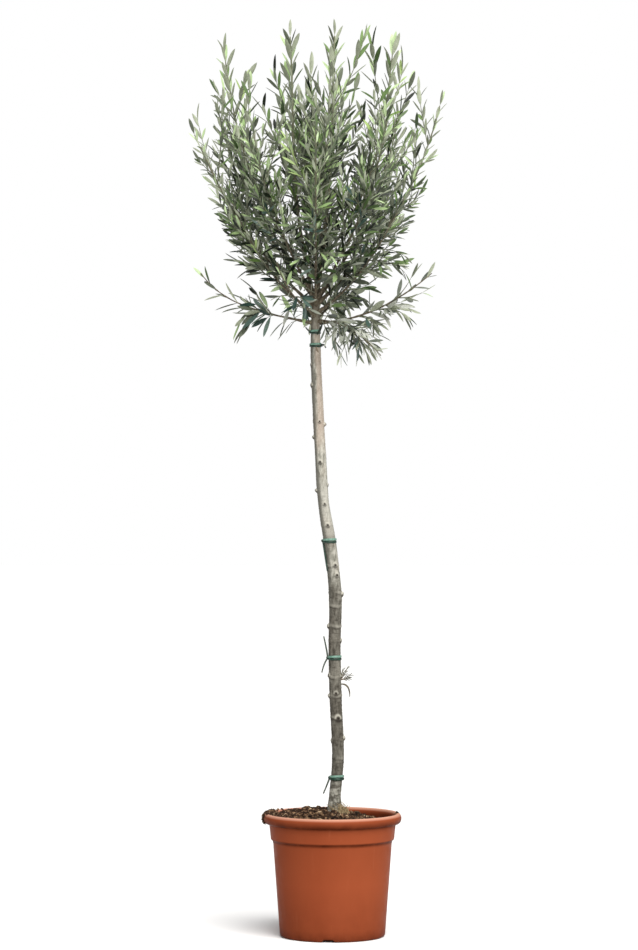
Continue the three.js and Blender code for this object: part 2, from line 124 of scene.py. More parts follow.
# The trunk from the ground to its fork: height, sideways and backwards sway, radius.
TRUNK = [
    (0.270, 0.005, 0.000, 0.0155),
    (0.300, 0.005, 0.000, 0.0128),
    (0.393, 0.012, 0.003, 0.0132),
    (0.510, 0.007, 0.008, 0.0134),
    (0.621, 0.0045, 0.010, 0.0132),
    (0.740, 0.006, 0.006, 0.0140),
    (0.850, -0.005, -0.002, 0.0134),
    (0.948, -0.020, -0.006, 0.0124),
    (1.046, -0.026, -0.005, 0.0120),
    (1.177, -0.033, 0.000, 0.0120),
    (1.285, -0.037, 0.003, 0.0112),
    (1.345, -0.037, 0.003, 0.0092),
    (1.395, -0.036, 0.002, 0.0078),
]
TRUNK_SIDES = 84
TRUNK_STEP = 0.0018
TRUNK_SUNK = 0.010  # how far it reaches into the soil
# Pruned side shoots on the trunk: height, compass direction, how far they stand out, radius.
KNOTS = [
    (0.423, 180, 0.0022, 0.0040),
    (0.430, 0, 0.0046, 0.0040),
    (0.473, 285, 0.0030, 0.0056),
    (0.521, 185, 0.0040, 0.0038),
    (0.527, 275, 0.0018, 0.0040),
    (0.565, 355, 0.0040, 0.0040),
    (0.566, 196, 0.0026, 0.0044),
    (0.641, 0, 0.0030, 0.0042),
    (0.673, 180, 0.0046, 0.0046),
    (0.742, 350, 0.0054, 0.0042),
    (0.784, 300, 0.0018, 0.0044),
    (0.806, 292, 0.0026, 0.0044),
    (0.893, 275, 0.0036, 0.0040),
    (0.939, 280, 0.0022, 0.0036),
    (0.968, 185, 0.0056, 0.0032),
    (0.980, 350, 0.0024, 0.0032),
    (1.030, 262, 0.0036, 0.0038),
    (1.084, 178, 0.0052, 0.0032),
    (1.112, 352, 0.0060, 0.0034),
    (1.118, 280, 0.0018, 0.0032),
    (1.197, 195, 0.0036, 0.0042),
    (1.241, 200, 0.0020, 0.0034),
]
# Swollen rings round the trunk, where a pair of shoots once grew: height, how far they stand out.
RINGS = [
    (0.387, 0.0004),
    (0.426, 0.0009),
    (0.474, 0.0008),
    (0.521, 0.0014),
    (0.563, 0.0008),
    (0.641, 0.0009),
    (0.673, 0.0014),
    (0.717, 0.0005),
    (0.730, 0.0008),
    (0.747, 0.0014),
    (0.806, 0.0006),
    (0.893, 0.0005),
    (0.983, 0.0006),
    (1.118, 0.0007),
]
RING_HALF_HEIGHT = 0.0032
RING_WAVE = 0.0016  # how far a ring dips and rises on its way round
# Sides of the trunk painted lighter where the key light falls on them, and darker in their shade: the compass
# of the middle, half the width and over how many degrees it fades, between which heights, and how much of it
# shows at most.
PAINTED_LIT_SIDE = {"compass": 318, "half": 62, "fades": 22, "from": 1.06, "to": 1.335, "share": 0.62}
PAINTED_SHADED_SIDE = {"compass": 190, "half": 66, "fades": 20, "from": 0.72, "to": 2.0, "share": 0.80}

# Bands of tie tube: height on the trunk, thickness, how tall.
TIES = [
    (0.344, 0.0046, 0.010),
    (0.604, 0.0026, 0.009),
    (0.859, 0.0024, 0.009),
    (1.284, 0.0024, 0.008),
    (1.313, 0.0024, 0.008),
]
TIE_CLEAR = 0.0003
TIE_SQUASH = 0.72  # how much flatter the soft tube lies than its band

# The branches. Compass directions and reaches are taken from the crown's axis, which stands over the fork:
# 0 is to +X, 90 to the back and 270 to the front.
CROWN_X = -0.036
# The crown's outline, as height and reach: a low ring of branches, a waist, then a vase with upright tips.
OUTLINE = [
    (1.216, 0.130),
    (1.320, 0.225),
    (1.400, 0.265),
    (1.466, 0.270),
    (1.492, 0.192),
    (1.600, 0.236),
    (1.700, 0.272),
    (1.835, 0.292),
    (1.870, 0.228),
    (1.965, 0.214),
    (1.996, 0.110),
]
# name, what it grows from, at what height, its rise there; its tip's compass, reach, height, rise; radius
BRANCHES = [
    ("top_centre", "trunk", 1.388, 80, 15, 0.042, 1.958, 88, 0.0064),
    ("top_mid", "trunk", 1.376, 70, 215, 0.068, 1.950, 86, 0.0058),
    ("top_left", "top_mid", 1.452, 48, 175, 0.200, 1.918, 82, 0.0042),
    ("top_right", "top_centre", 1.468, 50, 8, 0.170, 1.934, 84, 0.0042),
    ("top_front", "top_mid", 1.490, 45, 285, 0.122, 1.868, 80, 0.0038),
    ("top_back", "top_centre", 1.500, 48, 95, 0.130, 1.884, 80, 0.0038),
    ("left", "trunk", 1.366, 40, 184, 0.264, 1.740, 66, 0.0046),
    ("left_low", "trunk", 1.350, 34, 200, 0.192, 1.588, 66, 0.0042),
    ("right", "trunk", 1.372, 40, 2, 0.270, 1.806, 76, 0.0046),
    ("right_low", "trunk", 1.352, 32, 345, 0.196, 1.592, 60, 0.0042),
    ("front", "trunk", 1.368, 40, 270, 0.214, 1.730, 76, 0.0042),
    ("front_left", "trunk", 1.380, 46, 233, 0.222, 1.738, 76, 0.0040),
    ("front_right", "trunk", 1.382, 46, 312, 0.226, 1.752, 76, 0.0040),
    ("back", "trunk", 1.364, 42, 88, 0.224, 1.750, 76, 0.0042),
    ("back_left", "trunk", 1.382, 46, 146, 0.262, 1.812, 76, 0.0040),
    ("back_right", "trunk", 1.378, 46, 42, 0.244, 1.790, 76, 0.0040),
    ("low_left", "trunk", 1.331, 12, 182, 0.250, 1.440, 55, 0.0038),
    ("low_right", "trunk", 1.332, 2, 358, 0.252, 1.440, 40, 0.0038),
    ("low_droop", "trunk", 1.336, 4, 324, 0.172, 1.258, -44, 0.0034),
    ("low_back", "trunk", 1.340, 16, 72, 0.214, 1.462, 50, 0.0038),
    ("low_front", "trunk", 1.346, 14, 246, 0.204, 1.452, 50, 0.0036),
]
BEND = {"start": 0.38, "tip": 0.34}  # share of its length that a branch holds its rise for at each end
TIP_SHARE = 0.3  # a branch's radius at its tip, as a share of that at its foot
STEM_FROM = 0.27  # along its branch, where its bare bough ends and its mass of leaves starts
BOUGH_COLLAR = {"wider": 0.55, "from": 0.008, "reach": 0.013}  # where a branch leaves what it grows from
BOUGH_SIDES = 10
BOUGH_STEP = 0.0045

# Shoots on each stem. The first kind is the source's own, and the finer ones grow between them and on them.
# Each kind's number, size, the shares of its parent that it stands between, the degrees that it leaves it at,
# and how far it then bends upwards.
SHOOT_FIELDS = ("count", "length", "radius", "along", "leaving", "lift")
SHOOT_ROWS = {
    "main": (9, 0.180, 0.0014, (0.0, 0.78), 36, 0.68),
    "short": (9, 0.108, 0.0011, (0.0, 0.50), 46, 0.50),
    "side": (3, 0.080, 0.0009, (0.15, 0.70), 44, 0.45),
    "inner": (5, 0.105, 0.0010, (0.0, 1.0), 46, 0.50),
}
SHOOTS = {kind: dict(zip(SHOOT_FIELDS, row)) for kind, row in SHOOT_ROWS.items()}
TWIG = {"step": 0.010, "joint": 0.22, "sides": 5}
SHOOTS_BELOW = 1.785  # above this height a stem carries leaves only, as a single spire
SIDE_PARENTS = 4  # how many main shoots, from the foot of the stem up, branch again
INNER_FROM = 0.08  # along its branch, where a bough starts to carry inner shoots
SHOOT = {
    "shorter": 0.02,  # how much shorter one at the tip of its stem is
    "lengths": (0.62, 1.20),  # between which their lengths vary
    "shortest": 0.012,  # with less wood than this before its last leaf, a shoot isn't grown
    "thinner": 0.75,  # than what it grows from
    "tip_radius": 0.00055,
    "steps": 20,
}
# What the plain mass and those that differ from it look like, most of all the sparse ones low down: how far
# along the stem shoots grow, the share of them that does, how long they are, how many more grow from the bare
# bough, the share of leaves that grow and of shoots that hang, how large the leaves are, by how many tones
# they are lighter, and how many more of them are grey.
LOOK_FIELDS = ("up_to", "keep", "long", "inner", "leaves", "hang", "leaf", "lighter", "greyer")
PLAIN = (1.0, 1.0, 1.0, 0.9, 0.92, 0.0, 1.0, 0.0, 0.0)
LOOKS = {
    "left": (1.0, 1.0, 1.30, 0.9, 0.92, 0.0, 1.0, 0.0, 0.0),
    "front": (1.0, 1.0, 1.0, 2.0, 0.92, 0.10, 1.0, 0.0, 0.0),
    "front_left": (1.0, 1.1, 1.15, 1.7, 0.94, 0.0, 1.0, 0.0, 0.0),
    "front_right": (1.0, 1.1, 1.15, 1.9, 0.94, 0.0, 1.0, 0.0, 0.0),
    "left_low": (1.0, 0.9, 0.9, 0.4, 0.50, 0.0, 0.95, 0.2, 0.0),
    "right_low": (1.0, 1.0, 1.0, 2.6, 0.62, 0.30, 0.98, 0.6, 0.05),
    "low_left": (0.30, 0.95, 0.54, 2.9, 0.46, 0.36, 1.15, 0.9, 0.1),
    "low_right": (0.62, 0.80, 0.75, 1.7, 0.50, 0.45, 1.05, 2.6, 0.3),
    "low_droop": (0.92, 0.95, 1.05, 2.9, 0.62, 0.90, 0.80, 3.2, 0.65),
    "low_back": (0.70, 0.70, 0.85, 1.2, 0.50, 0.50, 1.06, 1.4, 0.1),
    "low_front": (0.40, 0.70, 0.65, 2.4, 0.46, 0.60, 0.95, 0.9, 0.1),
}
LEAF = {
    "length": 0.0450,
    "width": 0.0092,
    "thickness": 0.0006,
    "sizes": (1.0, 0.8, 0.62),  # tried in turn, largest first
    "by_height": ((1.45, 1.50, 1.68, 1.83, 1.90), (1.0, 0.80, 0.82, 1.06, 1.40)),  # how large they are
    "spacing": 0.0190,  # between pairs of the full size
    "most_apart": 1.05,  # times that, however large they are
    "open": 46,  # degrees from the shoot, low on it
    "open_at_tip": 22,
    "up_to": 0.97,  # share of the twig
    "last": 0.043,  # length of the leaves at a shoot's tip
    "apart": 0.0024,  # from any other leaf or twig
    "turn": 48,  # degrees either way that a blade turns about its own length
    "sag": 0.75,  # how far leaves hang at most, low in the crown
    "sag_below": 1.55,  # from where down they hang more and more
    "sag_fades": 0.25,
    "grows_wider": 1.3,  # power of its length that its width goes with
    "wide": (0.85, 1.12),  # between which their widths vary
    "curl": (-0.04, 0.13),
}
BARE_FOOT = {"stem": 0.06, "main": 0.12, "short": 0.10, "side": 0.10, "inner": 0.10}  # share without leaves
GOLDEN_TURN = 137.5
SPACE_MARGIN = -0.038  # masses reach a little into each other's space, so that they knit together
LIMB_MARGIN = 0.002

# Plain leaf colours, dealt out by shoot and leaf from painted shade in the crown's dark inside to painted
# light on its light top, outside and tips: green ones, greyer ones that prevail low in the crown, and a few
# shoots that are fresher or bluer.
TONES = {
    "green": [
        (0.006, 0.010, 0.0034),
        (0.018, 0.033, 0.0098),
        (0.041, 0.071, 0.023),
        (0.078, 0.128, 0.042),
        (0.124, 0.196, 0.069),
        (0.184, 0.276, 0.106),
        (0.273, 0.381, 0.169),
        (0.395, 0.505, 0.276),
    ],
    "grey": [
        (0.018, 0.025, 0.018),
        (0.060, 0.073, 0.055),
        (0.130, 0.147, 0.116),
        (0.225, 0.242, 0.200),
        (0.350, 0.364, 0.315),
    ],
    "fresh": [(0.062, 0.108, 0.024), (0.150, 0.235, 0.062), (0.300, 0.405, 0.150)],
    "blue": [(0.015, 0.034, 0.027), (0.048, 0.086, 0.069), (0.120, 0.172, 0.143)],
}
FRESH_SHARE = {"share": 0.08, "above": 1.50, "fades": 0.10}
BLUE_SHARE = {"share": 0.15, "below": 1.68, "fades": 0.12}
# painted light and shade: how light the leaves are, low in the crown and up to its top
LIT_TONE_BY_HEIGHT = ((1.30, 1.45, 1.56, 1.66, 1.76, 1.90), (0.16, 0.22, 0.16, 0.27, 0.56, 0.70))
# painted light: the crown's outside lighter than its middle
LIT_TONE_OUTSIDE = 0.30  # how much lighter the crown's outside is than its middle
TONE_CHANCE = 0.22
TONE_SPREAD = 11.0  # how far the leaves of one shoot differ, in green tones
GREY_SHARE = (0.62, 0.02)  # of the green shoots' leaves, low in the crown and above its waist
GREY_FADES = {"from": 1.35, "over": 0.20}
# Underside colours; each leaf's follows its upper side's, and with it the painted shade and light.
UNDER_TONES = [(0.110, 0.128, 0.088), (0.210, 0.235, 0.165), (0.330, 0.360, 0.265)]

SKY = {"lights": 0.31, "seen": 1.0}
KEY = {"from": (-67, 40), "strength": 4.35, "angle": 52, "colour": (1.0, 0.985, 0.96)}  # compass and rise
OVERHEAD = {"at": (0.2, -1.2, 4.6), "size": 2.2, "power": 60}
FLOOR = {"reach": 30.0, "colour": (0.94, 0.94, 0.94, 1)}
CAMERA = {"at": (-0.0293, -7.4, 1.0018), "lens": 128.99}

# ---------------------------------------------------------------- helpers


def lerp(low, high, share):
    return low + (high - low) * share


def ramped(distance, over):
    """From 0 to 1 while a distance grows from nothing to over."""
    return np.clip(distance / over, 0, 1)


def bell(off, width, power=2):
    """1 in the middle, and falling off to either side."""
    return np.exp(-((off / width) ** power))


def once_round(count):
    """Angles in radians, evenly round a circle."""
    return np.linspace(0, 2 * pi, count, endpoint=False)


def unit(vector):
    return vector / np.linalg.norm(vector)


def random_stream(seed):
    """The source's own stream of numbers from 0 to 1."""
    state = seed

    def number():
        nonlocal state
        state = (state * 1664525 + 1013904223) % 4294967296
        return state / 4294967296

    return number


def polar(compass, reach, height):
    return np.array([cos(radians(compass)) * reach, sin(radians(compass)) * reach, height])


def circle(angles, radius, height):
    """Points round the upright axis, at angles in radians."""
    return np.column_stack([np.cos(angles) * radius, np.sin(angles) * radius, np.full(len(angles), height)])


def direction(compass, rise):
    return polar(compass, cos(radians(rise)), sin(radians(rise)))


def turned_about(vector, axis, angle):
    """vector turned about a unit axis by an angle in radians."""
    turned = vector * cos(angle) + np.cross(axis, vector) * sin(angle)
    return turned + axis * np.dot(axis, vector) * (1 - cos(angle))


def sideways(ahead, turn):
    """A unit vector square to a direction, turned round it by degrees."""
    other = np.array([0.0, 0.0, 1.0]) if abs(ahead[2]) < 0.9 else np.array([1.0, 0.0, 0.0])
    return turned_about(unit(np.cross(ahead, other)), ahead, radians(turn))


def rough(points, scale, stretch=(1, 1, 1), seed=0):
    """Smooth noise from -1 to 1 at each point, with features about as big as scale."""
    placed = np.asarray(points) / (np.array(stretch) * scale) + seed * 17.3
    return np.array([noise.noise(Vector(place)) for place in placed])


class Line:
    """A smooth line kept as close points, measured by its length."""

    def __init__(self, points):
        self.points = np.asarray(points)
        steps = np.linalg.norm(np.diff(self.points, axis=0), axis=1)
        self.marks = np.concatenate([[0], np.cumsum(steps)])
        self.length = self.marks[-1]

    def at(self, shares):
        marks = np.asarray(shares) * self.length
        return np.stack([np.interp(marks, self.marks, self.points[:, k]) for k in range(3)], axis=-1)

    def ahead(self, share):
        near = 1.5 / len(self.points)
        return unit(self.at(min(share + near, 1)) - self.at(max(share - near, 0)))

    def at_height(self, height):
        rising = self.points[:, 2]
        return np.array([np.interp(height, rising, self.points[:, k]) for k in range(3)])

    def spaced(self, count):
        return self.at(np.linspace(0, 1, count))


def cubic_bend(a, b, c, d, shares):
    t = np.asarray(shares)[:, None]
    return a * (1 - t) ** 3 + 3 * b * t * (1 - t) ** 2 + 3 * c * t * t * (1 - t) + d * t**3


def quadratic_bend(a, b, c, shares):
    t = np.asarray(shares)[:, None]
    return a * (1 - t) ** 2 + 2 * b * t * (1 - t) + c * t * t


def smooth_through(corners, steps):
    """The uniform Catmull-Rom line through corners, as the source draws it."""
    corners = np.asarray(corners)
    padded = np.vstack([2 * corners[0] - corners[1], corners, 2 * corners[-1] - corners[-2]])
    pieces = []
    for i in range(len(corners) - 1):
        before, start, end, after = padded[i : i + 4]
        t = np.linspace(0, 1, steps, endpoint=False)[:, None]
        leave, arrive = (end - before) / 2, (after - start) / 2
        pieces.append(
            start + leave * t + (3 * (end - start) - 2 * leave - arrive) * t**2
            + (2 * (start - end) + leave + arrive) * t**3
        )
    return np.vstack([*pieces, corners[-1:]])


# ---------------------------------------------------------------- meshes


def add_object(name, data):
    made = bpy.data.objects.new(name, data)
    bpy.context.scene.collection.objects.link(made)
    return made


class Bundle:
    """Vertices and faces gathered for one piece."""

    def __init__(self):
        self.points, self.faces, self.count = [], [], 0

    def add(self, points, faces):
        self.points.append(np.asarray(points, float))
        self.faces.extend((np.asarray(faces) + self.count).tolist())
        self.count += len(points)

    def build(self, name, material, slot, smooth=True):
        mesh = bpy.data.meshes.new(name)
        faces = [list(dict.fromkeys(face)) for face in self.faces]  # a triangle may come as a quad
        mesh.from_pydata(np.vstack(self.points).tolist(), [], faces)
        mesh.polygons.foreach_set("use_smooth", [smooth] * len(mesh.polygons))
        mesh.materials.append(material)
        mesh.update()
        piece = add_object(name, mesh)
        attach(piece, "root")
        return piece


def grid_faces(rows, columns):
    """Quads between rows of points that each close on themselves."""
    row = np.arange(rows - 1)[:, None] * columns
    here, after = np.arange(columns)[None], (np.arange(columns) + 1)[None] % columns
    faces = np.stack([row + here, row + after, row + columns + after, row + columns + here], axis=-1)
    return faces.reshape(-1, 4)


def capped_faces(rows, sides):
    """Faces of a closed skin: rows of points, then one point that closes its start and one for its end."""
    start, end, last = rows * sides, rows * sides + 1, (rows - 1) * sides
    faces = grid_faces(rows, sides).tolist()
    for i in range(sides):
        j = (i + 1) % sides
        faces.append([start, j, i, i])
        faces.append([end, last + i, last + j, last + j])
    return faces


def frames_along(points):
    """Two unit vectors square to the line at each point, that don't twist along it."""
    ahead = np.gradient(points, axis=0)
    ahead /= np.linalg.norm(ahead, axis=1)[:, None]
    across = [sideways(ahead[0], 0)]
    for way in ahead[1:]:
        across.append(unit(across[-1] - way * np.dot(way, across[-1])))
    across = np.array(across)
    return across, np.cross(ahead, across)


def swept(points, radii, sides, bump=None):
    """A closed tube. Radii may be one for each ring, and bump(points) adds to them at every point."""
    across, up = frames_along(points)
    angles = once_round(sides)
    ring = across[:, None] * np.cos(angles)[None, :, None] + up[:, None] * np.sin(angles)[None, :, None]
    skin = points[:, None] + ring * np.asarray(radii)[:, None, None]
    if bump is not None:
        skin = skin + ring * bump(skin.reshape(-1, 3)).reshape(len(points), sides, 1)
    skin = np.vstack([skin.reshape(-1, 3), points[:1], points[-1:]])
    return skin, capped_faces(len(points), sides)


def add_tube(bundle, points, radii, sides, bump=None):
    bundle.add(*swept(np.asarray(points), radii, sides, bump))


# ---------------------------------------------------------------- materials


class Shader:
    """A node material, with short calls for the nodes that it is made of."""

    def __init__(self, name, roughness, specular=0.5):
        self.material = bpy.data.materials.new(name)
        self.material.use_nodes = True
        self.nodes = self.material.node_tree.nodes
        self.links = self.material.node_tree.links
        self.surface = self.nodes["Principled BSDF"]
        self.surface.inputs["Roughness"].default_value = roughness
        self.surface.inputs["Specular IOR Level"].default_value = specular
        self.place = self.nodes.new("ShaderNodeTexCoord").outputs["Object"]

    def stretched(self, scale):
        mapping = self.nodes.new("ShaderNodeMapping")
        mapping.inputs["Scale"].default_value = scale
        self.links.new(self.place, mapping.inputs["Vector"])
        return mapping.outputs["Vector"]

    def noise(self, scale, detail=4.0, stretch=(1, 1, 1)):
        texture = self.nodes.new("ShaderNodeTexNoise")
        texture.inputs["Scale"].default_value = scale
        texture.inputs["Detail"].default_value = detail
        self.links.new(self.stretched(stretch), texture.inputs["Vector"])
        return texture.outputs["Fac"]

    def spots(self, scale, stretch=(1, 1, 1)):
        texture = self.nodes.new("ShaderNodeTexVoronoi")
        texture.inputs["Scale"].default_value = scale
        self.links.new(self.stretched(stretch), texture.inputs["Vector"])
        return texture.outputs["Distance"]

    def attribute(self, name):
        reader = self.nodes.new("ShaderNodeAttribute")
        reader.attribute_name = name
        return reader.outputs["Fac"]

    def height(self, low=0.0, high=1.0):
        """Height above the floor, from 0 at the low one to 1 at the high one."""
        split = self.nodes.new("ShaderNodeSeparateXYZ")
        share = self.nodes.new("ShaderNodeMapRange")
        share.inputs["From Min"].default_value = low
        share.inputs["From Max"].default_value = high
        self.links.new(self.place, split.inputs["Vector"])
        self.links.new(split.outputs["Z"], share.inputs["Value"])
        return share.outputs["Result"]

    def ramp(self, value, *stops):
        """Colours or greys at shares of value."""
        ramp = self.nodes.new("ShaderNodeValToRGB")
        elements = ramp.color_ramp.elements
        while len(elements) < len(stops):
            elements.new(0.5)
        for element, (at, colour) in zip(elements, stops):
            element.position = at
            element.color = (*colour, 1) if isinstance(colour, tuple) else (colour, colour, colour, 1)
        self.links.new(value, ramp.inputs["Fac"])
        return ramp.outputs["Color"]

    def mix(self, share, low, high, blend="MIX"):
        mixer = self.nodes.new("ShaderNodeMix")
        mixer.data_type = "RGBA"
        mixer.blend_type = blend
        share_in, low_in, high_in = (mixer.inputs[i] for i in (0, 6, 7))
        for socket, value in ((share_in, share), (low_in, low), (high_in, high)):
            if isinstance(value, bpy.types.NodeSocket):
                self.links.new(value, socket)
            else:
                socket.default_value = (*value, 1) if isinstance(value, tuple) else value
        return mixer.outputs[2]

    def colour(self, value):
        self.links.new(value, self.surface.inputs["Base Color"])

    def roughness(self, value, low, high):
        self.links.new(self.ramp(value, (0.3, low), (0.7, high)), self.surface.inputs["Roughness"])

    def bump(self, value, depth, strength=1.0):
        """Relief of the given depth. Several calls add up."""
        bump = self.nodes.new("ShaderNodeBump")
        bump.inputs["Distance"].default_value = depth
        bump.inputs["Strength"].default_value = strength
        self.links.new(value, bump.inputs["Height"])
        before = self.surface.inputs["Normal"].links
        if before:
            self.links.new(before[0].from_socket, bump.inputs["Normal"])
        self.links.new(bump.outputs["Normal"], self.surface.inputs["Normal"])


# Painted shade on the pot, blotchy: darker towards its foot, in a line under the collar's ledge and under the
# lip, as shares of 0.30 m in height and how much of it there is.
PAINTED_SHADE_BY_HEIGHT = [
    (0.0, 0.80), (0.08, 0.30), (0.40, 0.0), (0.675, 0.10), (0.692, 0.95), (0.704, 0.75), (0.710, 0.0),
    (0.763, 0.0), (0.803, 0.10), (0.820, 0.98), (0.836, 0.72), (0.852, 0.42), (0.872, 0.0),
]


def pot_material():
    """Moulded brown plastic: flow marks, grain and scuffs, a painted highlight along the lip's top, and
    blotchy painted shade low down, under the collar's ledge and under the lip.
    """
    shader = Shader("pot_plastic", 0.45, 0.02)
    base = shader.ramp(
        shader.noise(7, 5, (1, 1, 0.35)), (0.30, (0.204, 0.0430, 0.0158)), (0.72, (0.239, 0.0540, 0.0208))
    )
    scuffs = shader.ramp(shader.noise(95, 6, (1, 1, 0.12)), (0.62, 0.0), (0.80, 0.22))
    base = shader.mix(scuffs, base, (0.33, 0.105, 0.050))
    # a painted highlight, pale pink, along the top of the lip's roll
    painted_lip_highlight = shader.ramp(shader.height(0.250, 0.270), (0.54, 0.0), (0.82, 0.88))
    base = shader.mix(painted_lip_highlight, base, (0.55, 0.290, 0.205))
    # painted shade, in blotches: darker towards the foot, under the collar's ledge and under the lip
    painted_shade_height = shader.ramp(shader.height(0.0, 0.30), *PAINTED_SHADE_BY_HEIGHT)
    blotches = shader.ramp(shader.noise(38, 7), (0.20, 0.55), (0.66, 1.0))
    painted_shade = shader.mix(1.0, painted_shade_height, blotches, "MULTIPLY")
    shader.colour(shader.mix(painted_shade, base, (0.048, 0.008, 0.002)))
    shader.roughness(shader.noise(60, 5), 0.34, 0.52)
    shader.bump(shader.noise(900, 2), 0.00012, 0.5)
    shader.bump(shader.noise(24, 3), 0.0012, 0.25)
    return shader.material


def soil_material():
    shader = Shader("soil_peat", 0.95, 0.2)
    base = shader.ramp(
        shader.noise(120, 8), (0.36, (0.008, 0.004, 0.002)), (0.52, (0.046, 0.023, 0.012)),
        (0.68, (0.27, 0.165, 0.090)),
    )
    shader.colour(base)
    shader.bump(shader.noise(420, 6), 0.0018, 0.9)
    return shader.material


def chip_material(name, dark, light):
    shader = Shader(name, 0.9, 0.25)
    shader.colour(shader.ramp(shader.noise(210, 5, (1, 1, 0.5)), (0.3, dark), (0.7, light)))
    shader.bump(shader.noise(600, 4), 0.0006, 0.8)
    return shader.material


def bark_material():
    """Grey olive bark: dark and ringed low down, pale and blotched high up, with dark cuts at the knots;
    painted light on its lit side, and painted shade on its shaded side, below the fork and under knots and
    rings.
    """
    shader = Shader("bark", 0.9, 0.15)
    streaks = shader.noise(230, 6, (1, 1, 0.30))
    cracks = shader.noise(150, 6, (0.50, 0.50, 1.7))
    patches = shader.noise(30, 6, (1, 1, 0.5))
    dark = shader.ramp(streaks, (0.30, (0.036, 0.032, 0.025)), (0.68, (0.106, 0.097, 0.079)))
    dark = shader.mix(shader.ramp(patches, (0.52, 0.0), (0.66, 0.42)), dark, (0.225, 0.213, 0.178))
    pale = shader.ramp(streaks, (0.32, (0.125, 0.122, 0.098)), (0.64, (0.400, 0.388, 0.338)))
    pale = shader.mix(shader.ramp(patches, (0.36, 0.85), (0.50, 0.0)), pale, (0.094, 0.086, 0.066))
    blush = shader.ramp(shader.noise(18, 4, (1, 1, 0.3)), (0.54, 0.0), (0.68, 0.5))
    pale = shader.mix(blush, pale, (0.435, 0.362, 0.296))
    rise = shader.ramp(
        shader.height(),
        (0.0, 0.95), (0.325, 0.85), (0.352, 0.06), (0.70, 0.10), (0.755, 0.30), (0.765, 0.75), (0.95, 1.0),
    )
    base = shader.mix(rise, dark, pale)
    palest = shader.ramp(shader.height(), (0.85, 0.0), (0.875, 0.5), (0.97, 0.5), (1.0, 0.0))
    base = shader.mix(palest, base, (0.410, 0.398, 0.352))
    # painted light on the trunk's lit side, and painted shade on its shaded side
    base = shader.mix(shader.attribute("painted_lit_side"), base, (0.415, 0.338, 0.276))
    base = shader.mix(shader.attribute("painted_shaded_side"), base, (0.108, 0.104, 0.086))
    cracked = shader.ramp(shader.height(), (0.0, 0.75), (0.74, 0.62), (0.80, 0.35), (1.3, 0.15))
    cracked = shader.mix(1.0, cracked, shader.ramp(cracks, (0.30, 1.0), (0.47, 0.0)), "MULTIPLY")
    base = shader.mix(cracked, base, (0.022, 0.018, 0.013))
    flaked = shader.ramp(shader.noise(75, 6, (0.7, 0.7, 1.3)), (0.47, 0.0), (0.56, 0.80))
    flaked = shader.mix(1.0, flaked, shader.ramp(shader.height(), (0.325, 1.0), (0.345, 0.0)), "MULTIPLY")
    base = shader.mix(flaked, base, (0.050, 0.043, 0.033))
    pores = shader.ramp(shader.spots(240, (1, 1, 0.6)), (0.06, 0.6), (0.20, 0.0))
    base = shader.mix(pores, base, (0.040, 0.032, 0.022))
    # painted shade of the crown, on the trunk's top below the fork
    shaded = shader.ramp(shader.height(1.30, 1.40), (0.0, 0.0), (0.45, 0.75))
    base = shader.mix(shaded, base, (0.085, 0.068, 0.046))
    base = shader.mix(shader.attribute("callus"), base, (0.47, 0.45, 0.385))
    # dark cut faces at the knots, and painted shade under knots and rings
    base = shader.mix(shader.attribute("cut"), base, (0.014, 0.010, 0.007))
    shader.colour(base)
    shader.bump(streaks, 0.0006, 0.5)
    shader.bump(cracks, 0.0008, 0.7)
    shader.bump(shader.noise(900, 3), 0.0003, 0.6)
    return shader.material


def bough_material():
    """The same bark, younger, painted darker and browner as the crown's shade, and paler towards the tips."""
    shader = Shader("bough_bark", 0.85, 0.25)
    # painted shade of the crown: dark browns
    base = shader.ramp(
        shader.noise(240, 6, (1, 1, 0.4)), (0.30, (0.040, 0.032, 0.021)), (0.55, (0.112, 0.092, 0.062)),
        (0.75, (0.250, 0.212, 0.155)),
    )
    tips = shader.ramp(shader.height(1.45, 1.85), (0.0, 0.0), (1.0, 0.75))
    shader.colour(shader.mix(tips, base, (0.175, 0.190, 0.125)))
    shader.bump(shader.noise(520, 5), 0.0006, 0.7)
    return shader.material


def twig_material():
    """Young wood, grey-green and slightly downy."""
    shader = Shader("twig_bark", 0.75, 0.3)
    base = shader.ramp(
        shader.noise(130, 4), (0.32, (0.078, 0.080, 0.048)), (0.68, (0.170, 0.188, 0.120))
    )
    shader.colour(base)
    shader.surface.inputs["Sheen Weight"].default_value = 0.15
    return shader.material


def leaf_material(name, colour, roughness, spread):
    """One plain leaf colour, with faint mottling either side of it."""
    shader = Shader(name, roughness, 0.32)
    darker = tuple(c * (1 - spread) for c in colour)
    lighter = tuple(c * (1 + spread) for c in colour)
    shader.colour(shader.ramp(shader.noise(70, 3), (0.35, darker), (0.65, lighter)))
    shader.bump(shader.noise(1500, 2), 0.0001, 0.4)
    return shader.material


def tie_material(name, low, high):
    """Soft green tube, scuffed pale in places."""
    shader = Shader(name, 0.42, 0.4)
    base = shader.ramp(shader.noise(180, 4), (0.3, low), (0.7, high))
    scuffed = tuple(1.5 * c for c in high)
    shader.colour(shader.mix(shader.ramp(shader.noise(520, 5), (0.6, 0.0), (0.8, 0.4)), base, scuffed))
    shader.bump(shader.noise(700, 3), 0.0002, 0.6)
    return shader.material


# ---------------------------------------------------------------- pot and soil


def rounded(corners):
    """Points along an outline whose corners (radius, height, rounding) are bent smooth."""
    points = [np.array(corners[0][:2])]
    for before, corner, after in zip(corners, corners[1:], corners[2:]):
        here, back, on = (np.array(p[:2]) for p in (corner, before, after))
        back, on = back - here, on - here
        cut = min(corner[2], 0.45 * np.linalg.norm(back), 0.45 * np.linalg.norm(on))
        start, end = here + unit(back) * cut, here + unit(on) * cut
        points.extend(quadratic_bend(start, here, end, np.linspace(0, 1, ROUNDING_STEPS)))
    return [*points, np.array(corners[-1][:2])]


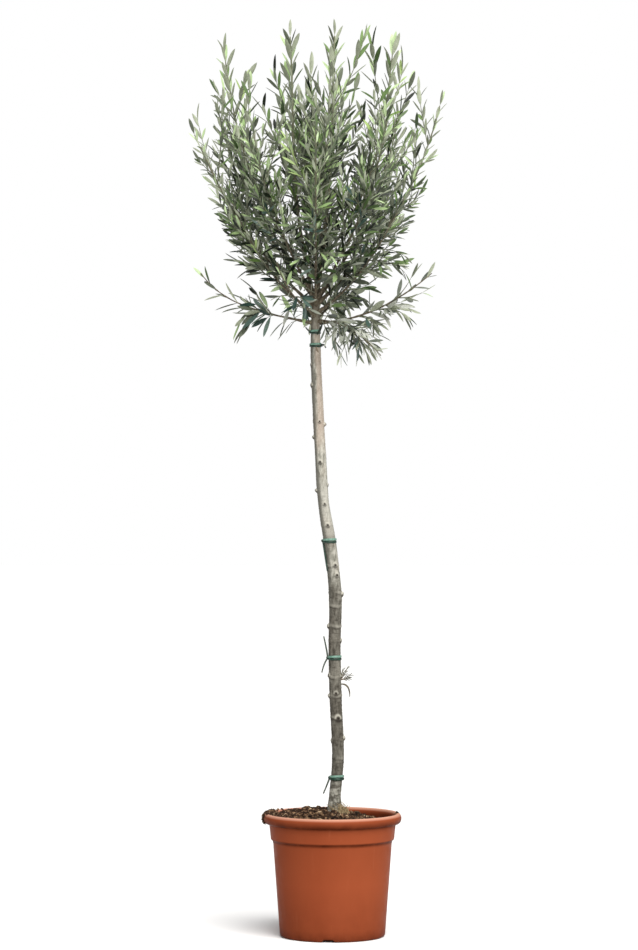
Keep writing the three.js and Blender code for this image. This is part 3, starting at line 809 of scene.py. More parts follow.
def pot_outline():
    angles = np.radians(np.linspace(*POT_LIP_TURN))
    across = POT_LIP["middle"] + np.cos(angles) * POT_LIP["width"]
    up = POT_LIP["height"] + np.sin(angles) * POT_LIP["rise"]
    return np.vstack([rounded(POT_OUTSIDE), np.column_stack([across, up]), rounded(POT_INSIDE)])


def long_steps_cut(outline, longest):
    """The same outline with points added so that no step is longer."""
    points = [outline[:1]]
    for start, end in zip(outline, outline[1:]):
        count = max(1, ceil(np.linalg.norm(end - start) / longest))
        points.append(start + (end - start) * (np.arange(1, count + 1) / count)[:, None])
    return np.vstack(points)


def notch_lift(points):
    """How far the pot's foot is raised by the notches that let water out."""
    compass = np.degrees(np.arctan2(points[:, 1], points[:, 0]))
    radius = np.hypot(points[:, 0], points[:, 1])
    lift = np.zeros(len(points))
    for i in range(NOTCHES["count"]):
        off = (compass - NOTCHES["first"] - i * 360 / NOTCHES["count"] + 180) % 360 - 180
        aside = np.abs(np.radians(off)) * radius
        lift = np.maximum(lift, ramped(NOTCHES["half_width"] - aside, NOTCHES["edge"]))
    lift = lift * lift * (3 - 2 * lift)
    fade = np.clip(1 - points[:, 2] / NOTCHES["fades_at"], 0, 1)
    at_foot = (radius > NOTCHES["starts_at"]) & (points[:, 2] < NOTCHES["fades_at"])
    return np.where(at_foot, lift * fade * NOTCHES["height"], 0)


def make_pot():
    outline = long_steps_cut(pot_outline(), POT_STEP)
    angles = once_round(POT_SIDES)
    around = np.column_stack([np.cos(angles), np.sin(angles)])
    inner = outline[1:-1]
    skin = np.concatenate(
        [inner[:, None, :1] * around[None], np.repeat(inner[:, None, 1:], POT_SIDES, axis=1)], axis=2
    ).reshape(-1, 3)
    skin[:, 2] += notch_lift(skin)
    ends = [[0, 0, outline[0][1]], [0, 0, outline[-1][1]]]
    pot = Bundle()
    pot.add(np.vstack([skin, ends]), capped_faces(len(inner), POT_SIDES))
    piece = pot.build("pot_shell", pot_material(), "pot_plastic")
    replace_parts(piece, "pot")


def soil_height(x, y):
    """The source's own ground, before its crumbs."""
    radius = np.hypot(x, y)
    slope = SOIL["lean"] * radius / POT_FOOT_RADIUS * np.cos(np.arctan2(y, x) - radians(SOIL["lean_to"]))
    past_seat = np.maximum(radius - SOIL["seat_radius"], 0) / SOIL["mound_radius"]
    share = np.clip(radius / SOIL["seat_radius"], 0, 1)
    return SOIL["level"] + slope * share + (SOIL["ground"] - SOIL["level"]) * np.exp(-(past_seat**2))


def loose_height(x, y):
    """How much loose soil lies on that ground."""
    towards = np.cos(np.arctan2(y, x) - radians(SOIL["lean_to"]))
    off = np.hypot(x, y) - SOIL["heap_at"]
    return SOIL["heap"] * np.clip(towards, 0, 1) * bell(off, SOIL["heap_width"])


def top_of_soil(x, y):
    return float(soil_height(x, y) + loose_height(x, y))


def make_soil():
    shares = np.linspace(1, 0.012, SOIL["rings"])
    angles = once_round(SOIL["sides"])
    x = (shares[:, None] * SOIL["edge"] * np.cos(angles)).ravel()
    y = (shares[:, None] * SOIL["edge"] * np.sin(angles)).ravel()
    flat = np.column_stack([x, y, np.zeros(len(x))])
    lumps = rough(flat, 0.013) * SOIL["lump"] + np.abs(rough(flat, 0.0052, seed=2)) * SOIL["grain"] * 2
    grains = rough(flat, 0.0026, seed=3) * SOIL["grain"] * 0.8
    top = np.column_stack([x, y, soil_height(x, y) + loose_height(x, y) + lumps + grains - SOIL["sunk"]])
    below = [circle(angles, radius, height) for radius, height in SOIL_BELOW]
    ends = [[0, 0, SOIL_BELOW[0][1]], [0, 0, top[-1, 2]]]
    soil = Bundle()
    soil.add(np.vstack([*below, top, ends]), capped_faces(len(below) + len(shares), SOIL["sides"]))
    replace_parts(soil.build("soil_body", soil_material(), "soil"), "soil")


def chip(bundle, at, way, across, size):
    """A splinter with six corners, thicker in its middle than at its ends."""
    up = np.cross(way, across)
    long, wide, thick = size
    corners = [
        way * long, -way * long * 0.9, across * wide, -across * wide * 0.8, up * thick, -up * thick,
    ]
    ends, belt = (0, 1), (2, 4, 3, 5)
    faces = []
    for i, side in enumerate(belt):
        after = belt[(i + 1) % 4]
        faces.append([ends[0], side, after])
        faces.append([ends[1], after, side])
    bundle.add(np.array(corners) + at, faces)


def clod(bundle, at, size, seed):
    """A crumb of peat: a small ball, squashed and lumpy."""
    rises = np.radians(np.linspace(-75, 75, CLOD_ROWS))[:, None]
    compasses = once_round(CLOD_SIDES)[None]
    ball = np.stack(np.broadcast_arrays(
        np.cos(rises) * np.cos(compasses), np.cos(rises) * np.sin(compasses), np.sin(rises) * 0.75
    ), axis=-1).reshape(-1, 3)
    ball = np.vstack([ball, [[0, 0, -0.8], [0, 0, 0.8]]])
    ball *= (1 + 0.45 * rough(ball, 0.8, seed=seed) + 0.2 * rough(ball, 0.3, seed=seed))[:, None]
    bundle.add(ball * size + at, capped_faces(CLOD_ROWS, CLOD_SIDES))


def on_lip(compass, round_roll, above):
    """A place on the pot's rolled lip: 0 is its outermost line and 90 its top."""
    turn = radians(round_roll)
    out = POT_LIP["middle"] + cos(turn) * (POT_LIP["width"] + above)
    return polar(compass, out, POT_LIP["height"] + sin(turn) * (POT_LIP["rise"] + above))


def make_clods():
    """Crumbs of peat on the soil, and those spilt on the pot's lip."""
    rng = np.random.default_rng(23)
    clods = Bundle()
    for i in range(CLODS["count"]):
        radius, compass = SOIL["edge"] * 0.96 * rng.random() ** 0.5, rng.normal(165, 85)
        x, y = polar(compass, radius, 0)[:2]
        if hypot(x - TRUNK[0][1], y) < BARE_ROUND_TRUNK["clods"]:
            continue
        size = lerp(*CLODS["size"], rng.random() ** 2)
        clod(clods, [x, y, top_of_soil(x, y) + size * 0.2], size, i)
    for compass, count, spread, (low, high) in SPILLS:
        for i in range(count):
            size = lerp(*CLODS["spilt"], rng.random() ** 1.5)
            at = on_lip(compass + rng.normal(0, spread), lerp(low, high, rng.random()), size * 0.45)
            clod(clods, at, size, i + 300)
    clods.build("soil_clods", soil_material(), "soil")


def make_chips():
    """Bark, grit and root scraps strewn on the soil, and the crumbs of it that lie on the pot's lip."""
    rng = np.random.default_rng(5)
    bundles = [Bundle() for _ in CHIP_KINDS]
    kind_shares = [kind[3] for kind in CHIP_KINDS]
    for _ in range(CHIPS["count"]):
        radius, compass = SOIL["edge"] * 0.97 * rng.random() ** 0.5, rng.random() * 360
        x, y = polar(compass, radius, 0)[:2]
        if hypot(x - TRUNK[0][1], y) < BARE_ROUND_TRUNK["chips"]:
            continue
        way = direction(rng.random() * 360, rng.normal(0, 22))
        long = lerp(*CHIPS["long"], rng.random() ** 2.2) / 2
        thick = lerp(*CHIPS["thick"], rng.random()) / 2
        size = (long, max(long * lerp(0.25, 0.7, rng.random()), thick), thick)
        at = np.array([x, y, top_of_soil(x, y) + thick * 0.6 + CHIPS["raised"]])
        bundle = bundles[rng.choice(len(bundles), p=kind_shares)]
        chip(bundle, at, way, sideways(way, rng.random() * 50 - 25), size)
    for compass, count, spread, (low, high) in SPILLS:
        for _ in range(count // 2):
            at = on_lip(compass + rng.normal(0, spread), lerp(low, high, rng.random()), 0.0028)
            way = direction(rng.random() * 360, rng.normal(0, 30))
            size = np.array(CHIP_SPILT) * lerp(0.4, 1.0, rng.random())
            chip(bundles[rng.choice(2)], at, way, sideways(way, 0), size)
    for bundle, (name, dark, light, _) in zip(bundles, CHIP_KINDS):
        bundle.build(name, chip_material(name, dark, light), "soil", smooth=False)


def make_moss():
    """Fine roots and dry moss at the trunk's foot, on its front right."""
    rng = np.random.default_rng(11)
    strands = Bundle()
    for _ in range(MOSS["strands"]):
        compass, out = rng.random() * 360, MOSS["reach"] * rng.random() ** 0.5
        x, y = MOSS["at"][0] + cos(radians(compass)) * out, MOSS["at"][1] + sin(radians(compass)) * out * 0.7
        foot = np.array([x, y, float(soil_height(x, y)) - 0.002])
        length = MOSS["length"] * lerp(0.5, 1.1, rng.random())
        lean = np.array([0.005 - x, -y, 0.0]) * 0.5
        bend = foot + direction(rng.random() * 360, 68) * length * 0.5
        tip = bend + lean + direction(rng.random() * 360, rng.normal(15, 25)) * length * 0.5
        line = quadratic_bend(foot, bend, tip, np.linspace(0, 1, 6))
        add_tube(strands, line, np.linspace(MOSS["radius"], MOSS["radius"] * 0.4, 6), 4)
    material = chip_material("dry_moss", (0.170, 0.115, 0.055), (0.420, 0.330, 0.190))
    strands.build("moss_strands", material, "soil")


# ---------------------------------------------------------------- trunk and ties

trunk_line = Line(smooth_through([row[1:3] + row[:1] for row in TRUNK], 40))


def trunk_radius(height):
    heights, radii = [row[0] for row in TRUNK], [row[3] for row in TRUNK]
    return np.interp(height, heights, radii)


def knot_shapes(heights, compasses):
    """How far the knots and rings stand out at each place, and how much of it is dark, as cut face and as
    painted shade under knots and rings, and callus.
    """
    proud, cut, callus = (np.zeros(len(heights)) for _ in range(3))
    for height, compass, out, size in KNOTS:
        off = (compasses - compass + 180) % 360 - 180
        aside = np.radians(off) * trunk_radius(height)
        away = np.hypot(aside, (heights - height) * 0.85)
        lump = out * bell(away, size, 2.6)
        hollow = 0.45 * out * bell(away, size * 0.42, 4)
        proud += lump - hollow
        cut = np.maximum(cut, bell(away, size * 0.64, 4))
        # painted shade under each knot's stub
        shade = bell(away - size, size * 0.40) * ramped(height - heights, size)
        cut = np.maximum(cut, 0.75 * shade)
        ring = bell(away - size * 1.05, size * 0.42) * (heights > height - 0.2 * size)
        callus = np.maximum(callus, ring * min(0.85, 0.15 + 160 * out))
    for height, out in RINGS:
        bent = heights - height - RING_WAVE * np.cos(np.radians(compasses * 2 + height * 9000))
        shows = np.clip(0.35 + 0.75 * np.cos(np.radians(compasses - height * 40000)), 0, 1)
        proud += out * (0.5 + 0.5 * shows) * bell(bent, RING_HALF_HEIGHT)
        callus = np.maximum(callus, 0.24 * shows * bell(bent - 0.001, RING_HALF_HEIGHT))
        # painted shade under each ring
        cut = np.maximum(cut, 0.60 * shows * bell(bent + 0.0040, 0.0015))
    return proud, cut, callus


def painted_side_share(points, heights, compasses, side):
    """How much of each place on the trunk takes the painted light or the painted shade of one of its sides.
    """
    wander = 26 * rough(points, 0.022, (1, 1, 3), 7)
    off = np.abs((compasses - side["compass"] + wander + 180) % 360 - 180)
    high = ramped(heights - side["from"], 0.05) * ramped(side["to"] - heights, 0.04)
    return side["share"] * high * ramped(side["half"] - off, side["fades"])


def trunk_relief(points, heights, compasses):
    """Buttresses at the foot, hollows, fissures and grain."""
    foot = np.exp(-(heights - TRUNK[0][0]) / 0.014)
    buttress = 0.0022 * foot * (1 + np.cos(np.radians(compasses * 5 + 40)))
    lumps = 0.0008 * rough(points, 0.030, (1, 1, 2.2), 1)
    fissures = -0.00030 * np.maximum(rough(points, 0.0046, (1, 1, 5), 2), 0)
    grain = 0.00022 * rough(points, 0.0022, (1, 1, 1.6), 3)
    wrinkles = 0.00045 * rough(points, 0.012, (2.5, 2.5, 0.28), 4)
    return buttress + lumps + fissures + grain + wrinkles


def make_trunk(material):
    low, high = TRUNK[0][0] - TRUNK_SUNK, TRUNK[-1][0]
    heights = np.linspace(low, high, round((high - low) / TRUNK_STEP))
    angles = np.linspace(0, 360, TRUNK_SIDES, endpoint=False)
    middle = np.array([trunk_line.at_height(height) for height in heights])
    middle[:, 2] = heights
    ring = circle(np.radians(angles), 1, 0)
    radii = trunk_radius(heights)
    skin = (middle[:, None] + ring[None] * radii[:, None, None]).reshape(-1, 3)
    all_heights = np.repeat(heights, TRUNK_SIDES)
    all_compasses = np.tile(angles, len(heights))
    proud, cut, callus = knot_shapes(all_heights, all_compasses)
    relief = trunk_relief(skin, all_heights, all_compasses) + proud
    skin += np.tile(ring, (len(heights), 1)) * relief[:, None]
    ends = middle[[0, -1]] + [[0, 0, 0], [0, 0, 0.004]]
    trunk = Bundle()
    trunk.add(np.vstack([skin, ends]), capped_faces(len(heights), TRUNK_SIDES))
    piece = trunk.build("trunk_bark", material, "bark")
    layers = {
        "cut": cut,
        "callus": callus,
        # painted light and painted shade on the trunk's two sides
        "painted_lit_side": painted_side_share(skin, all_heights, all_compasses, PAINTED_LIT_SIDE),
        "painted_shaded_side": painted_side_share(skin, all_heights, all_compasses, PAINTED_SHADED_SIDE),
    }
    for name, values in layers.items():
        layer = piece.data.attributes.new(name, "FLOAT", "POINT")
        layer.data.foreach_set("value", np.concatenate([values, [0, 0]]))
    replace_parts(piece, "trunk")


def tie_turn(height, thick, lift, tilt):
    """Points once round the trunk, just clear of its bark."""
    middle = trunk_line.at_height(height)
    reach = trunk_radius(height) + TIE_CLEAR + thick / 2
    angles = once_round(48)
    rise = lift + tilt * np.cos(angles + 0.8)
    return middle + circle(angles, reach, rise)


def add_ring(bundle, turn, thick, tall):
    """A closed ring of tube, thick across and taller than it is thick."""
    out = turn - turn.mean(axis=0)
    out[:, 2] = 0
    out /= np.linalg.norm(out, axis=1)[:, None]
    angles = once_round(12)
    skin = turn[:, None] + out[:, None] * (np.cos(angles) * thick / 2)[None, :, None]
    skin[:, :, 2] += np.sin(angles) * tall / 2
    rows, sides = len(turn), len(angles)
    row, side = np.arange(rows)[:, None], np.arange(sides)[None]
    after, beside = (row + 1) % rows, (side + 1) % sides
    faces = np.stack(
        [row * sides + side, after * sides + side, after * sides + beside, row * sides + beside], axis=-1
    ).reshape(-1, 4)
    bundle.add(skin.reshape(-1, 3), faces)


# Loose ends of the ties: which tie, where it leaves the band, its bend and its tip as steps sideways, back
# and up, and whether it has faded.
TAILS = [
    (0, 195, (-0.006, -0.004, -0.016), (-0.014, -0.006, -0.034), True),
    (1, 190, (-0.003, -0.004, 0.020), (-0.009, -0.004, 0.047), True),
    (1, 188, (-0.009, -0.004, -0.012), (-0.013, -0.003, -0.032), True),
    (2, 190, (0.0045, -0.0060, -0.030), (0.0095, -0.0055, -0.066), False),
    (3, 350, (0.006, -0.004, 0.004), (0.010, -0.005, -0.006), True),
    (4, 200, (-0.006, -0.004, 0.004), (-0.010, -0.004, 0.010), True),
]
TAIL_RADIUS = 0.0021
TAIL_STEPS = 14
KNOT_RADII = [0.0020, 0.0031, 0.0020]
KNOT_HALF_HEIGHT = 0.003
TURN_TALL = 0.54  # of one of a tie's two turns, as a share of its band
TURN_LIFT = 0.24


def make_ties():
    """Each tie is two turns of soft tube, one in painted light above one in painted shade, with its knots and
    ends.
    """
    # lit and shaded copies of the tie's green: painted light on the upper turn, painted shade on the lower
    # turn, its knots and its dark tail
    pale = tie_material("tie_painted_lit", (0.085, 0.178, 0.135), (0.165, 0.290, 0.230))
    dark = tie_material("tie_plastic", (0.002, 0.012, 0.007), (0.010, 0.042, 0.026))
    faded = tie_material("tie_faded", (0.020, 0.032, 0.024), (0.060, 0.078, 0.060))
    tails = Bundle()
    for i, (height, thick, tall) in enumerate(TIES):
        above, tie = Bundle(), Bundle()
        for turn, lift, tilt in ((above, TURN_LIFT * tall, 0.0009), (tie, -TURN_LIFT * tall, -0.0006)):
            around = tie_turn(height, thick * TIE_SQUASH, lift, tilt)
            add_ring(turn, around, thick * TIE_SQUASH, tall * TURN_TALL)
        for which, compass, bend, tip, has_faded in TAILS:
            if which != i:
                continue
            out = trunk_radius(height) + TIE_CLEAR + thick / 2
            start = trunk_line.at_height(height) + polar(compass, out, 0)
            line = quadratic_bend(start, start + bend, start + tip, np.linspace(0, 1, TAIL_STEPS))
            radii = np.linspace(TAIL_RADIUS, TAIL_RADIUS * 0.7, TAIL_STEPS)
            add_tube(tails if has_faded else tie, line, radii, 8)
            knot = start + polar(compass, 0.001, 0)
            half = np.array([0, 0, KNOT_HALF_HEIGHT])
            add_tube(tie, [knot - half, knot, knot + half], KNOT_RADII, 10)
        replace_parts(above.build(f"tie_turn_{i + 1}", pale, "tie_plastic"), f"tie_{i + 1}")
        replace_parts(tie.build(f"tie_band_{i + 1}", dark, "tie_plastic"), f"tie_{i + 1}")
    tails.build("tie_tails", faded, "tie_plastic")


# ---------------------------------------------------------------- branches


def branch_curve(row, lines):
    """The whole branch, from inside what it grows from to the tip of its mass, as one bend."""
    _, parent, at, leaving, compass, reach, height, ending, _ = row
    start = lines[parent].at_height(at)
    tip = polar(compass, reach, height) + [CROWN_X, 0, 0]
    way = tip - start
    long = np.linalg.norm(way)
    outward = degrees(atan2(way[1], way[0]))
    before = start + direction(outward, leaving) * long * BEND["start"]
    after = tip - direction(compass, ending) * long * BEND["tip"]
    return partial(cubic_bend, start, before, after, tip)


CURVE_POINTS = 240
lines = {"trunk": trunk_line}
curves = []
for row in BRANCHES:
    curves.append(branch_curve(row, lines))
    lines[row[0]] = Line(curves[-1](np.linspace(0, 1, CURVE_POINTS)))


def branch_radius(index, share):
    return BRANCHES[index][8] * lerp(1, TIP_SHARE, np.sqrt(share))


# Close points along every stem, and along every limb with its radius, for the tests of where a leaf fits.
STEM_POINTS = np.array([curve(np.linspace(STEM_FROM, 1, 60)) for curve in curves])
bough_shares = np.linspace(0, STEM_FROM, 40)
trunk_points = trunk_line.spaced(300)
bough_radii = [branch_radius(i, bough_shares) for i in range(len(curves))]
LIMB_POINTS = np.vstack([trunk_points, *[curve(bough_shares) for curve in curves]])
LIMB_RADII = np.concatenate([trunk_radius(trunk_points[:, 2]), *bough_radii])


def depth_in_space(index, points):
    """How far points lie inside the space of one mass: whatever lies nearer to its stem than to any other."""
    away = np.linalg.norm(points[:, None, None] - STEM_POINTS[None], axis=3).min(axis=2)
    others = np.delete(away, index, axis=1).min(axis=1)
    return (others - away[:, index]) / 2


def fits(index, points, margin):
    heights, reaches = np.array(OUTLINE).T
    inside = (points[:, 2] > heights[0]) & (points[:, 2] < heights[-1])
    inside &= np.hypot(points[:, 0] - CROWN_X, points[:, 1]) < np.interp(points[:, 2], heights, reaches)
    if not inside.all():
        return False
    away = np.linalg.norm(points[:, None] - LIMB_POINTS[None], axis=2) - LIMB_RADII
    return away.min() > LIMB_MARGIN and depth_in_space(index, points).min() > margin


def bough_relief(radius, seed, skin):
    """Lumps and length-wise fissures, as deep as the bough's size allows."""
    fissures = np.minimum(rough(skin, 0.0034, (1, 1, 2.5), seed + 30), 0)
    return radius * 0.16 * (rough(skin, 0.011, seed=seed) + 0.7 * fissures)


def make_boughs(material):
    """Every branch as one tapering limb with its bark's relief, a collar at its foot, and joints."""
    piece = Bundle()
    for i, curve in enumerate(curves):
        line = Line(curve(np.linspace(0, 1, CURVE_POINTS)))
        steps = max(24, round(line.length / BOUGH_STEP))
        shares = np.linspace(0, 1, steps)
        points = line.at(shares)
        along = shares * line.length
        radii = branch_radius(i, shares)
        past_foot = np.maximum(along - BOUGH_COLLAR["from"], 0)
        radii = radii * (1 + BOUGH_COLLAR["wider"] * np.exp(-past_foot / BOUGH_COLLAR["reach"]))
        joints = np.abs((along / LEAF["spacing"]) % 1 - 0.5) * 2
        radii = radii * (1 + 0.16 * np.clip(joints * 5 - 4, 0, 1))
        add_tube(piece, points, radii, BOUGH_SIDES, partial(bough_relief, BRANCHES[i][8], i))
    made = piece.build("boughs_bark", material, "bark")
    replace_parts(made, *[f"bough_{row[0]}" for row in BRANCHES])


# ---------------------------------------------------------------- shoots and leaves

# A leaf's outline, as shares of its length and of its half width, and how far its middle rib stands below its
# edges there, as a share of its width.
LEAF_STATIONS = [
    (0.00, 0.00, 0.00),
    (0.05, 0.13, 0.02),
    (0.16, 0.48, 0.10),
    (0.32, 0.86, 0.15),
    (0.52, 1.00, 0.17),
    (0.72, 0.88, 0.15),
    (0.89, 0.50, 0.09),
    (1.00, 0.00, 0.00),
]


def leaf_faces():
    """Faces of one side of a leaf: its two ends, then left edge, rib and right edge at each station."""
    faces = [[0, 2, 3, 3], [0, 3, 4, 4]]
    inner = len(LEAF_STATIONS) - 2
    for i in range(inner - 1):
        left, rib, right = (2 + 3 * i + k for k in range(3))
        faces.append([left, left + 3, rib + 3, rib])
        faces.append([rib, rib + 3, right + 3, right])
    last = 2 + 3 * (inner - 1)
    faces.extend([[1, last + 1, last, last], [1, last + 2, last + 1, last + 1]])
    return faces


LEAF_FACES = leaf_faces()


def leaf_side(leaf, lift):
    """Points of one side of a leaf, whose rib is lifted off the middle of its thickness."""
    root, way, across, face, length, width, curl = leaf
    tip = root + way * length - face * curl * length
    points = [root, tip]
    for along, wide, keel in LEAF_STATIONS[1:-1]:
        middle = root + way * along * length - face * curl * length * along * along
        edge = face * keel * width
        half = across * wide * width / 2
        points.extend([middle - half + edge, middle + face * lift, middle + half + edge])
    return points


class Twig:
    """A shoot or stem that carries leaves."""

    def __init__(self, line, foot_radius, tip_radius, kind, tone=0, family="green"):
        self.line, self.kind, self.tone, self.family = line, kind, tone, family
        self.foot_radius, self.tip_radius = foot_radius, tip_radius
        self.bears_leaves = False

    def radius(self, share):
        return lerp(self.foot_radius, self.tip_radius, share)


STEPS_BESIDE = (-1, 0, 1)


class Room:
    """What twigs and leaves fill already, as points sorted into cells as wide as a leaf's room."""

    def __init__(self):
        self.cells = {}

    def sorted_in(self, points):
        return zip(points, np.floor(points / LEAF["apart"]).astype(int).tolist())

    def add(self, points):
        for point, cell in self.sorted_in(points):
            self.cells.setdefault(tuple(cell), []).append(point)

    def near(self, cell):
        for across in STEPS_BESIDE:
            for along in STEPS_BESIDE:
                for up in STEPS_BESIDE:
                    yield from self.cells.get((cell[0] + across, cell[1] + along, cell[2] + up), ())

    def free(self, points):
        for point, cell in self.sorted_in(points):
            for other in self.near(cell):
                if np.dot(point - other, point - other) < LEAF["apart"] ** 2:
                    return False
        return True


class Mass:
    """One branch's twigs and leaves."""

    def __init__(self, index):
        self.index = index
        self.random = random_stream(1000 + index * 77)
        self.look = dict(zip(LOOK_FIELDS, LOOKS.get(BRANCHES[index][0], PLAIN)))
        self.twigs = []
        self.leaves = []


def tone_for(mass, place):
    """Which leaf colour a shoot gets: painted lighter towards the top and the outside, where the light falls,
    with some chance.
    """
    heights, reaches = np.array(OUTLINE).T
    out = min(1.0, hypot(place[0] - CROWN_X, place[1]) / np.interp(place[2], heights, reaches))
    value = np.interp(place[2], *LIT_TONE_BY_HEIGHT) + LIT_TONE_OUTSIDE * out**3 + TONE_CHANCE * (mass.random() - 0.5)
    return value * len(TONES["green"]) + mass.look["lighter"]


def family_for(mass, place):
    """Which list of colours a shoot's leaves take theirs from."""
    chance = mass.random()
    fresh = FRESH_SHARE["share"] * ramped(place[2] - FRESH_SHARE["above"], FRESH_SHARE["fades"])
    blue = BLUE_SHARE["share"] * ramped(BLUE_SHARE["below"] - place[2], BLUE_SHARE["fades"])
    if chance < fresh:
        return "fresh"
    return "blue" if chance > 1 - blue else "green"


def leaf_tone(mass, twig, share, height):
    """A leaf's colour, as its list and its place there."""
    # painted light: leaves near a shoot's tip are lighter
    value = twig.tone + (share > 0.7) * 0.6 + TONE_SPREAD * (mass.random() - 0.5)
    value = np.clip(value / len(TONES["green"]), 0, 0.999)
    grey = lerp(*GREY_SHARE, ramped(height - GREY_FADES["from"], GREY_FADES["over"])) + mass.look["greyer"]
    family = "grey" if twig.family == "green" and mass.random() < grey else twig.family
    return family, int(value * len(TONES[family]))


def shoot_from(mass, parent, share, turn, length, kind):
    """A side shoot that bends upwards or hangs, cut short where its last leaf would leave the space.

    None where there is no room for it.
    """
    start, ahead = parent.line.at(share), parent.line.ahead(share)
    open_angle = radians(SHOOTS[kind]["leaving"])
    leaving = ahead * cos(open_angle) + sideways(ahead, turn) * sin(open_angle)
    droops = mass.random() < mass.look["hang"]
    lift = -SHOOTS[kind]["lift"] if droops else SHOOTS[kind]["lift"]
    if droops and leaving[2] > 0:
        leaving = unit(leaving * (1, 1, 0.2))
    ending = unit(leaving * (1 - abs(lift)) + np.array([0, 0, lift]))
    bend = start + leaving * length / 2
    whole = quadratic_bend(start, bend, bend + ending * length / 2, np.linspace(0, 1, SHOOT["steps"] + 1))
    end = 2
    while end < SHOOT["steps"] and fits(mass.index, whole[end + 1 : end + 2], SPACE_MARGIN):
        end += 1
    line = Line(whole[: end + 1])
    room = line.length - LEAF["last"]
    if room < SHOOT["shortest"]:
        return None
    line = Line(line.at(np.linspace(0, room / line.length, 12)))
    radius = min(SHOOTS[kind]["radius"], SHOOT["thinner"] * parent.radius(share))
    tone, family = tone_for(mass, line.at(1)), family_for(mass, line.at(1))
    return Twig(line, radius, min(radius, SHOOT["tip_radius"]), kind, tone, family)


def shoots_along(mass, parent, kind):
    """A kind of side shoots, spread along a twig and round it, fewer and shorter on a sparse mass."""
    keep, along = mass.look["keep"], SHOOTS[kind]["along"]
    if parent.kind == "stem":
        along = (along[0], min(along[1], mass.look["up_to"]))
    more = mass.look["inner"] if kind == "inner" else 1.0
    count = max(1, round(SHOOTS[kind]["count"] * keep * more))
    length = SHOOTS[kind]["length"] * mass.look["long"]
    made = []
    for i in range(count):
        share = lerp(*along, (i + mass.random()) / count)
        turn = i * GOLDEN_TURN + mass.random() * 40
        if parent.kind == "stem" and parent.line.at(share)[2] > SHOOTS_BELOW:
            continue
        long = length * lerp(1, 1 - SHOOT["shorter"], share) * lerp(*SHOOT["lengths"], mass.random())
        made.append(shoot_from(mass, parent, share, turn, long, kind))
    return [shoot for shoot in made if shoot]


def leaf_at(mass, room, node, way, shoot_way, length, tone):
    """A leaf at the largest of the sizes that fits between what is there."""
    for size in LEAF["sizes"]:
        long = length * size
        blade = node + way * long * np.array([[0.3], [0.5], [0.7], [0.9]])
        ends = node + way * long * np.array([[0.2], [1.0]])
        if room.free(blade) and fits(mass.index, np.vstack([blade, ends]), SPACE_MARGIN):
            room.add(blade)
            face = unit(shoot_way - way * np.dot(shoot_way, way) + 1e-6)
            face = turned_about(face, way, radians(LEAF["turn"] * (2 * mass.random() - 1)))
            wide = LEAF["width"] * (long / LEAF["length"]) ** LEAF["grows_wider"]
            wide *= lerp(*LEAF["wide"], mass.random())
            curl = lerp(*LEAF["curl"], mass.random())
            mass.leaves.append((tone, (node, way, np.cross(face, way), face, long, wide, curl)))
            return


def leaves_along(mass, room, twig):
    """Pairs of leaves along a twig, each pair square to the last, and a small pair at its tip."""
    random, line = mass.random, twig.line
    spacing = LEAF["spacing"] * min(LEAF["most_apart"], np.interp(line.at(0.5)[2], *LEAF["by_height"]))
    bare = BARE_FOOT[twig.kind]
    pairs = max(1, round(line.length * (1 - bare) / spacing))
    roll = random() * 90
    leaves_before = len(mass.leaves)
    for pair in range(pairs + 1):
        at_tip = pair == pairs
        share = 1.0 if at_tip else min(lerp(bare, LEAF["up_to"], (pair + 0.5) / pairs), 1.0)
        open_angle = LEAF["open_at_tip"] * 0.6 if at_tip else lerp(LEAF["open"], LEAF["open_at_tip"], share)
        open_angle = radians(open_angle + (random() - 0.5) * 18)
        long = LEAF["last"] if at_tip else LEAF["length"] * lerp(1.08, 0.82, share) * lerp(0.8, 1.1, random())
        ahead, node = line.ahead(share), line.at(share)
        long *= mass.look["leaf"] * np.interp(node[2], *LEAF["by_height"])
        for half in (0, 180):
            if random() > mass.look["leaves"]:
                continue
            side = sideways(ahead, roll + pair * 90 + half + (random() - 0.5) * 30)
            way = ahead * cos(open_angle) + side * sin(open_angle)
            sag = LEAF["sag"] * random() * ramped(LEAF["sag_below"] - node[2], LEAF["sag_fades"])
            way = unit(way - [0, 0, sag])
            leaf_at(mass, room, node, way, ahead, long, leaf_tone(mass, twig, share, node[2]))
    twig.bears_leaves = len(mass.leaves) > leaves_before


def grow_twigs(index):
    """One branch's stem and all its shoots."""
    mass = Mass(index)
    curve = curves[index]
    stem_line = Line(curve(np.linspace(STEM_FROM, 1, 200)))
    foot, end = branch_radius(index, STEM_FROM), branch_radius(index, 1.0)
    stem = Twig(stem_line, foot, end, "stem", tone_for(mass, stem_line.at(1)))
    bough = Twig(Line(curve(np.linspace(INNER_FROM, STEM_FROM, 60))), foot, foot, "bough")
    main = shoots_along(mass, stem, "main")
    short = shoots_along(mass, stem, "short")
    side = [shoot for parent in main[:SIDE_PARENTS] for shoot in shoots_along(mass, parent, "side")]
    inner = shoots_along(mass, bough, "inner")
    mass.twigs = [stem, *main, *short, *side, *inner]
    return mass


def grown_masses():
    """All twigs first, and then the leaves that find room between them."""
    masses = [grow_twigs(index) for index in range(len(BRANCHES))]
    room = Room()
    for mass in masses:
        for twig in mass.twigs:
            room.add(twig.line.spaced(14))
    for mass in masses:
        for twig in mass.twigs:
            leaves_along(mass, room, twig)
    return masses


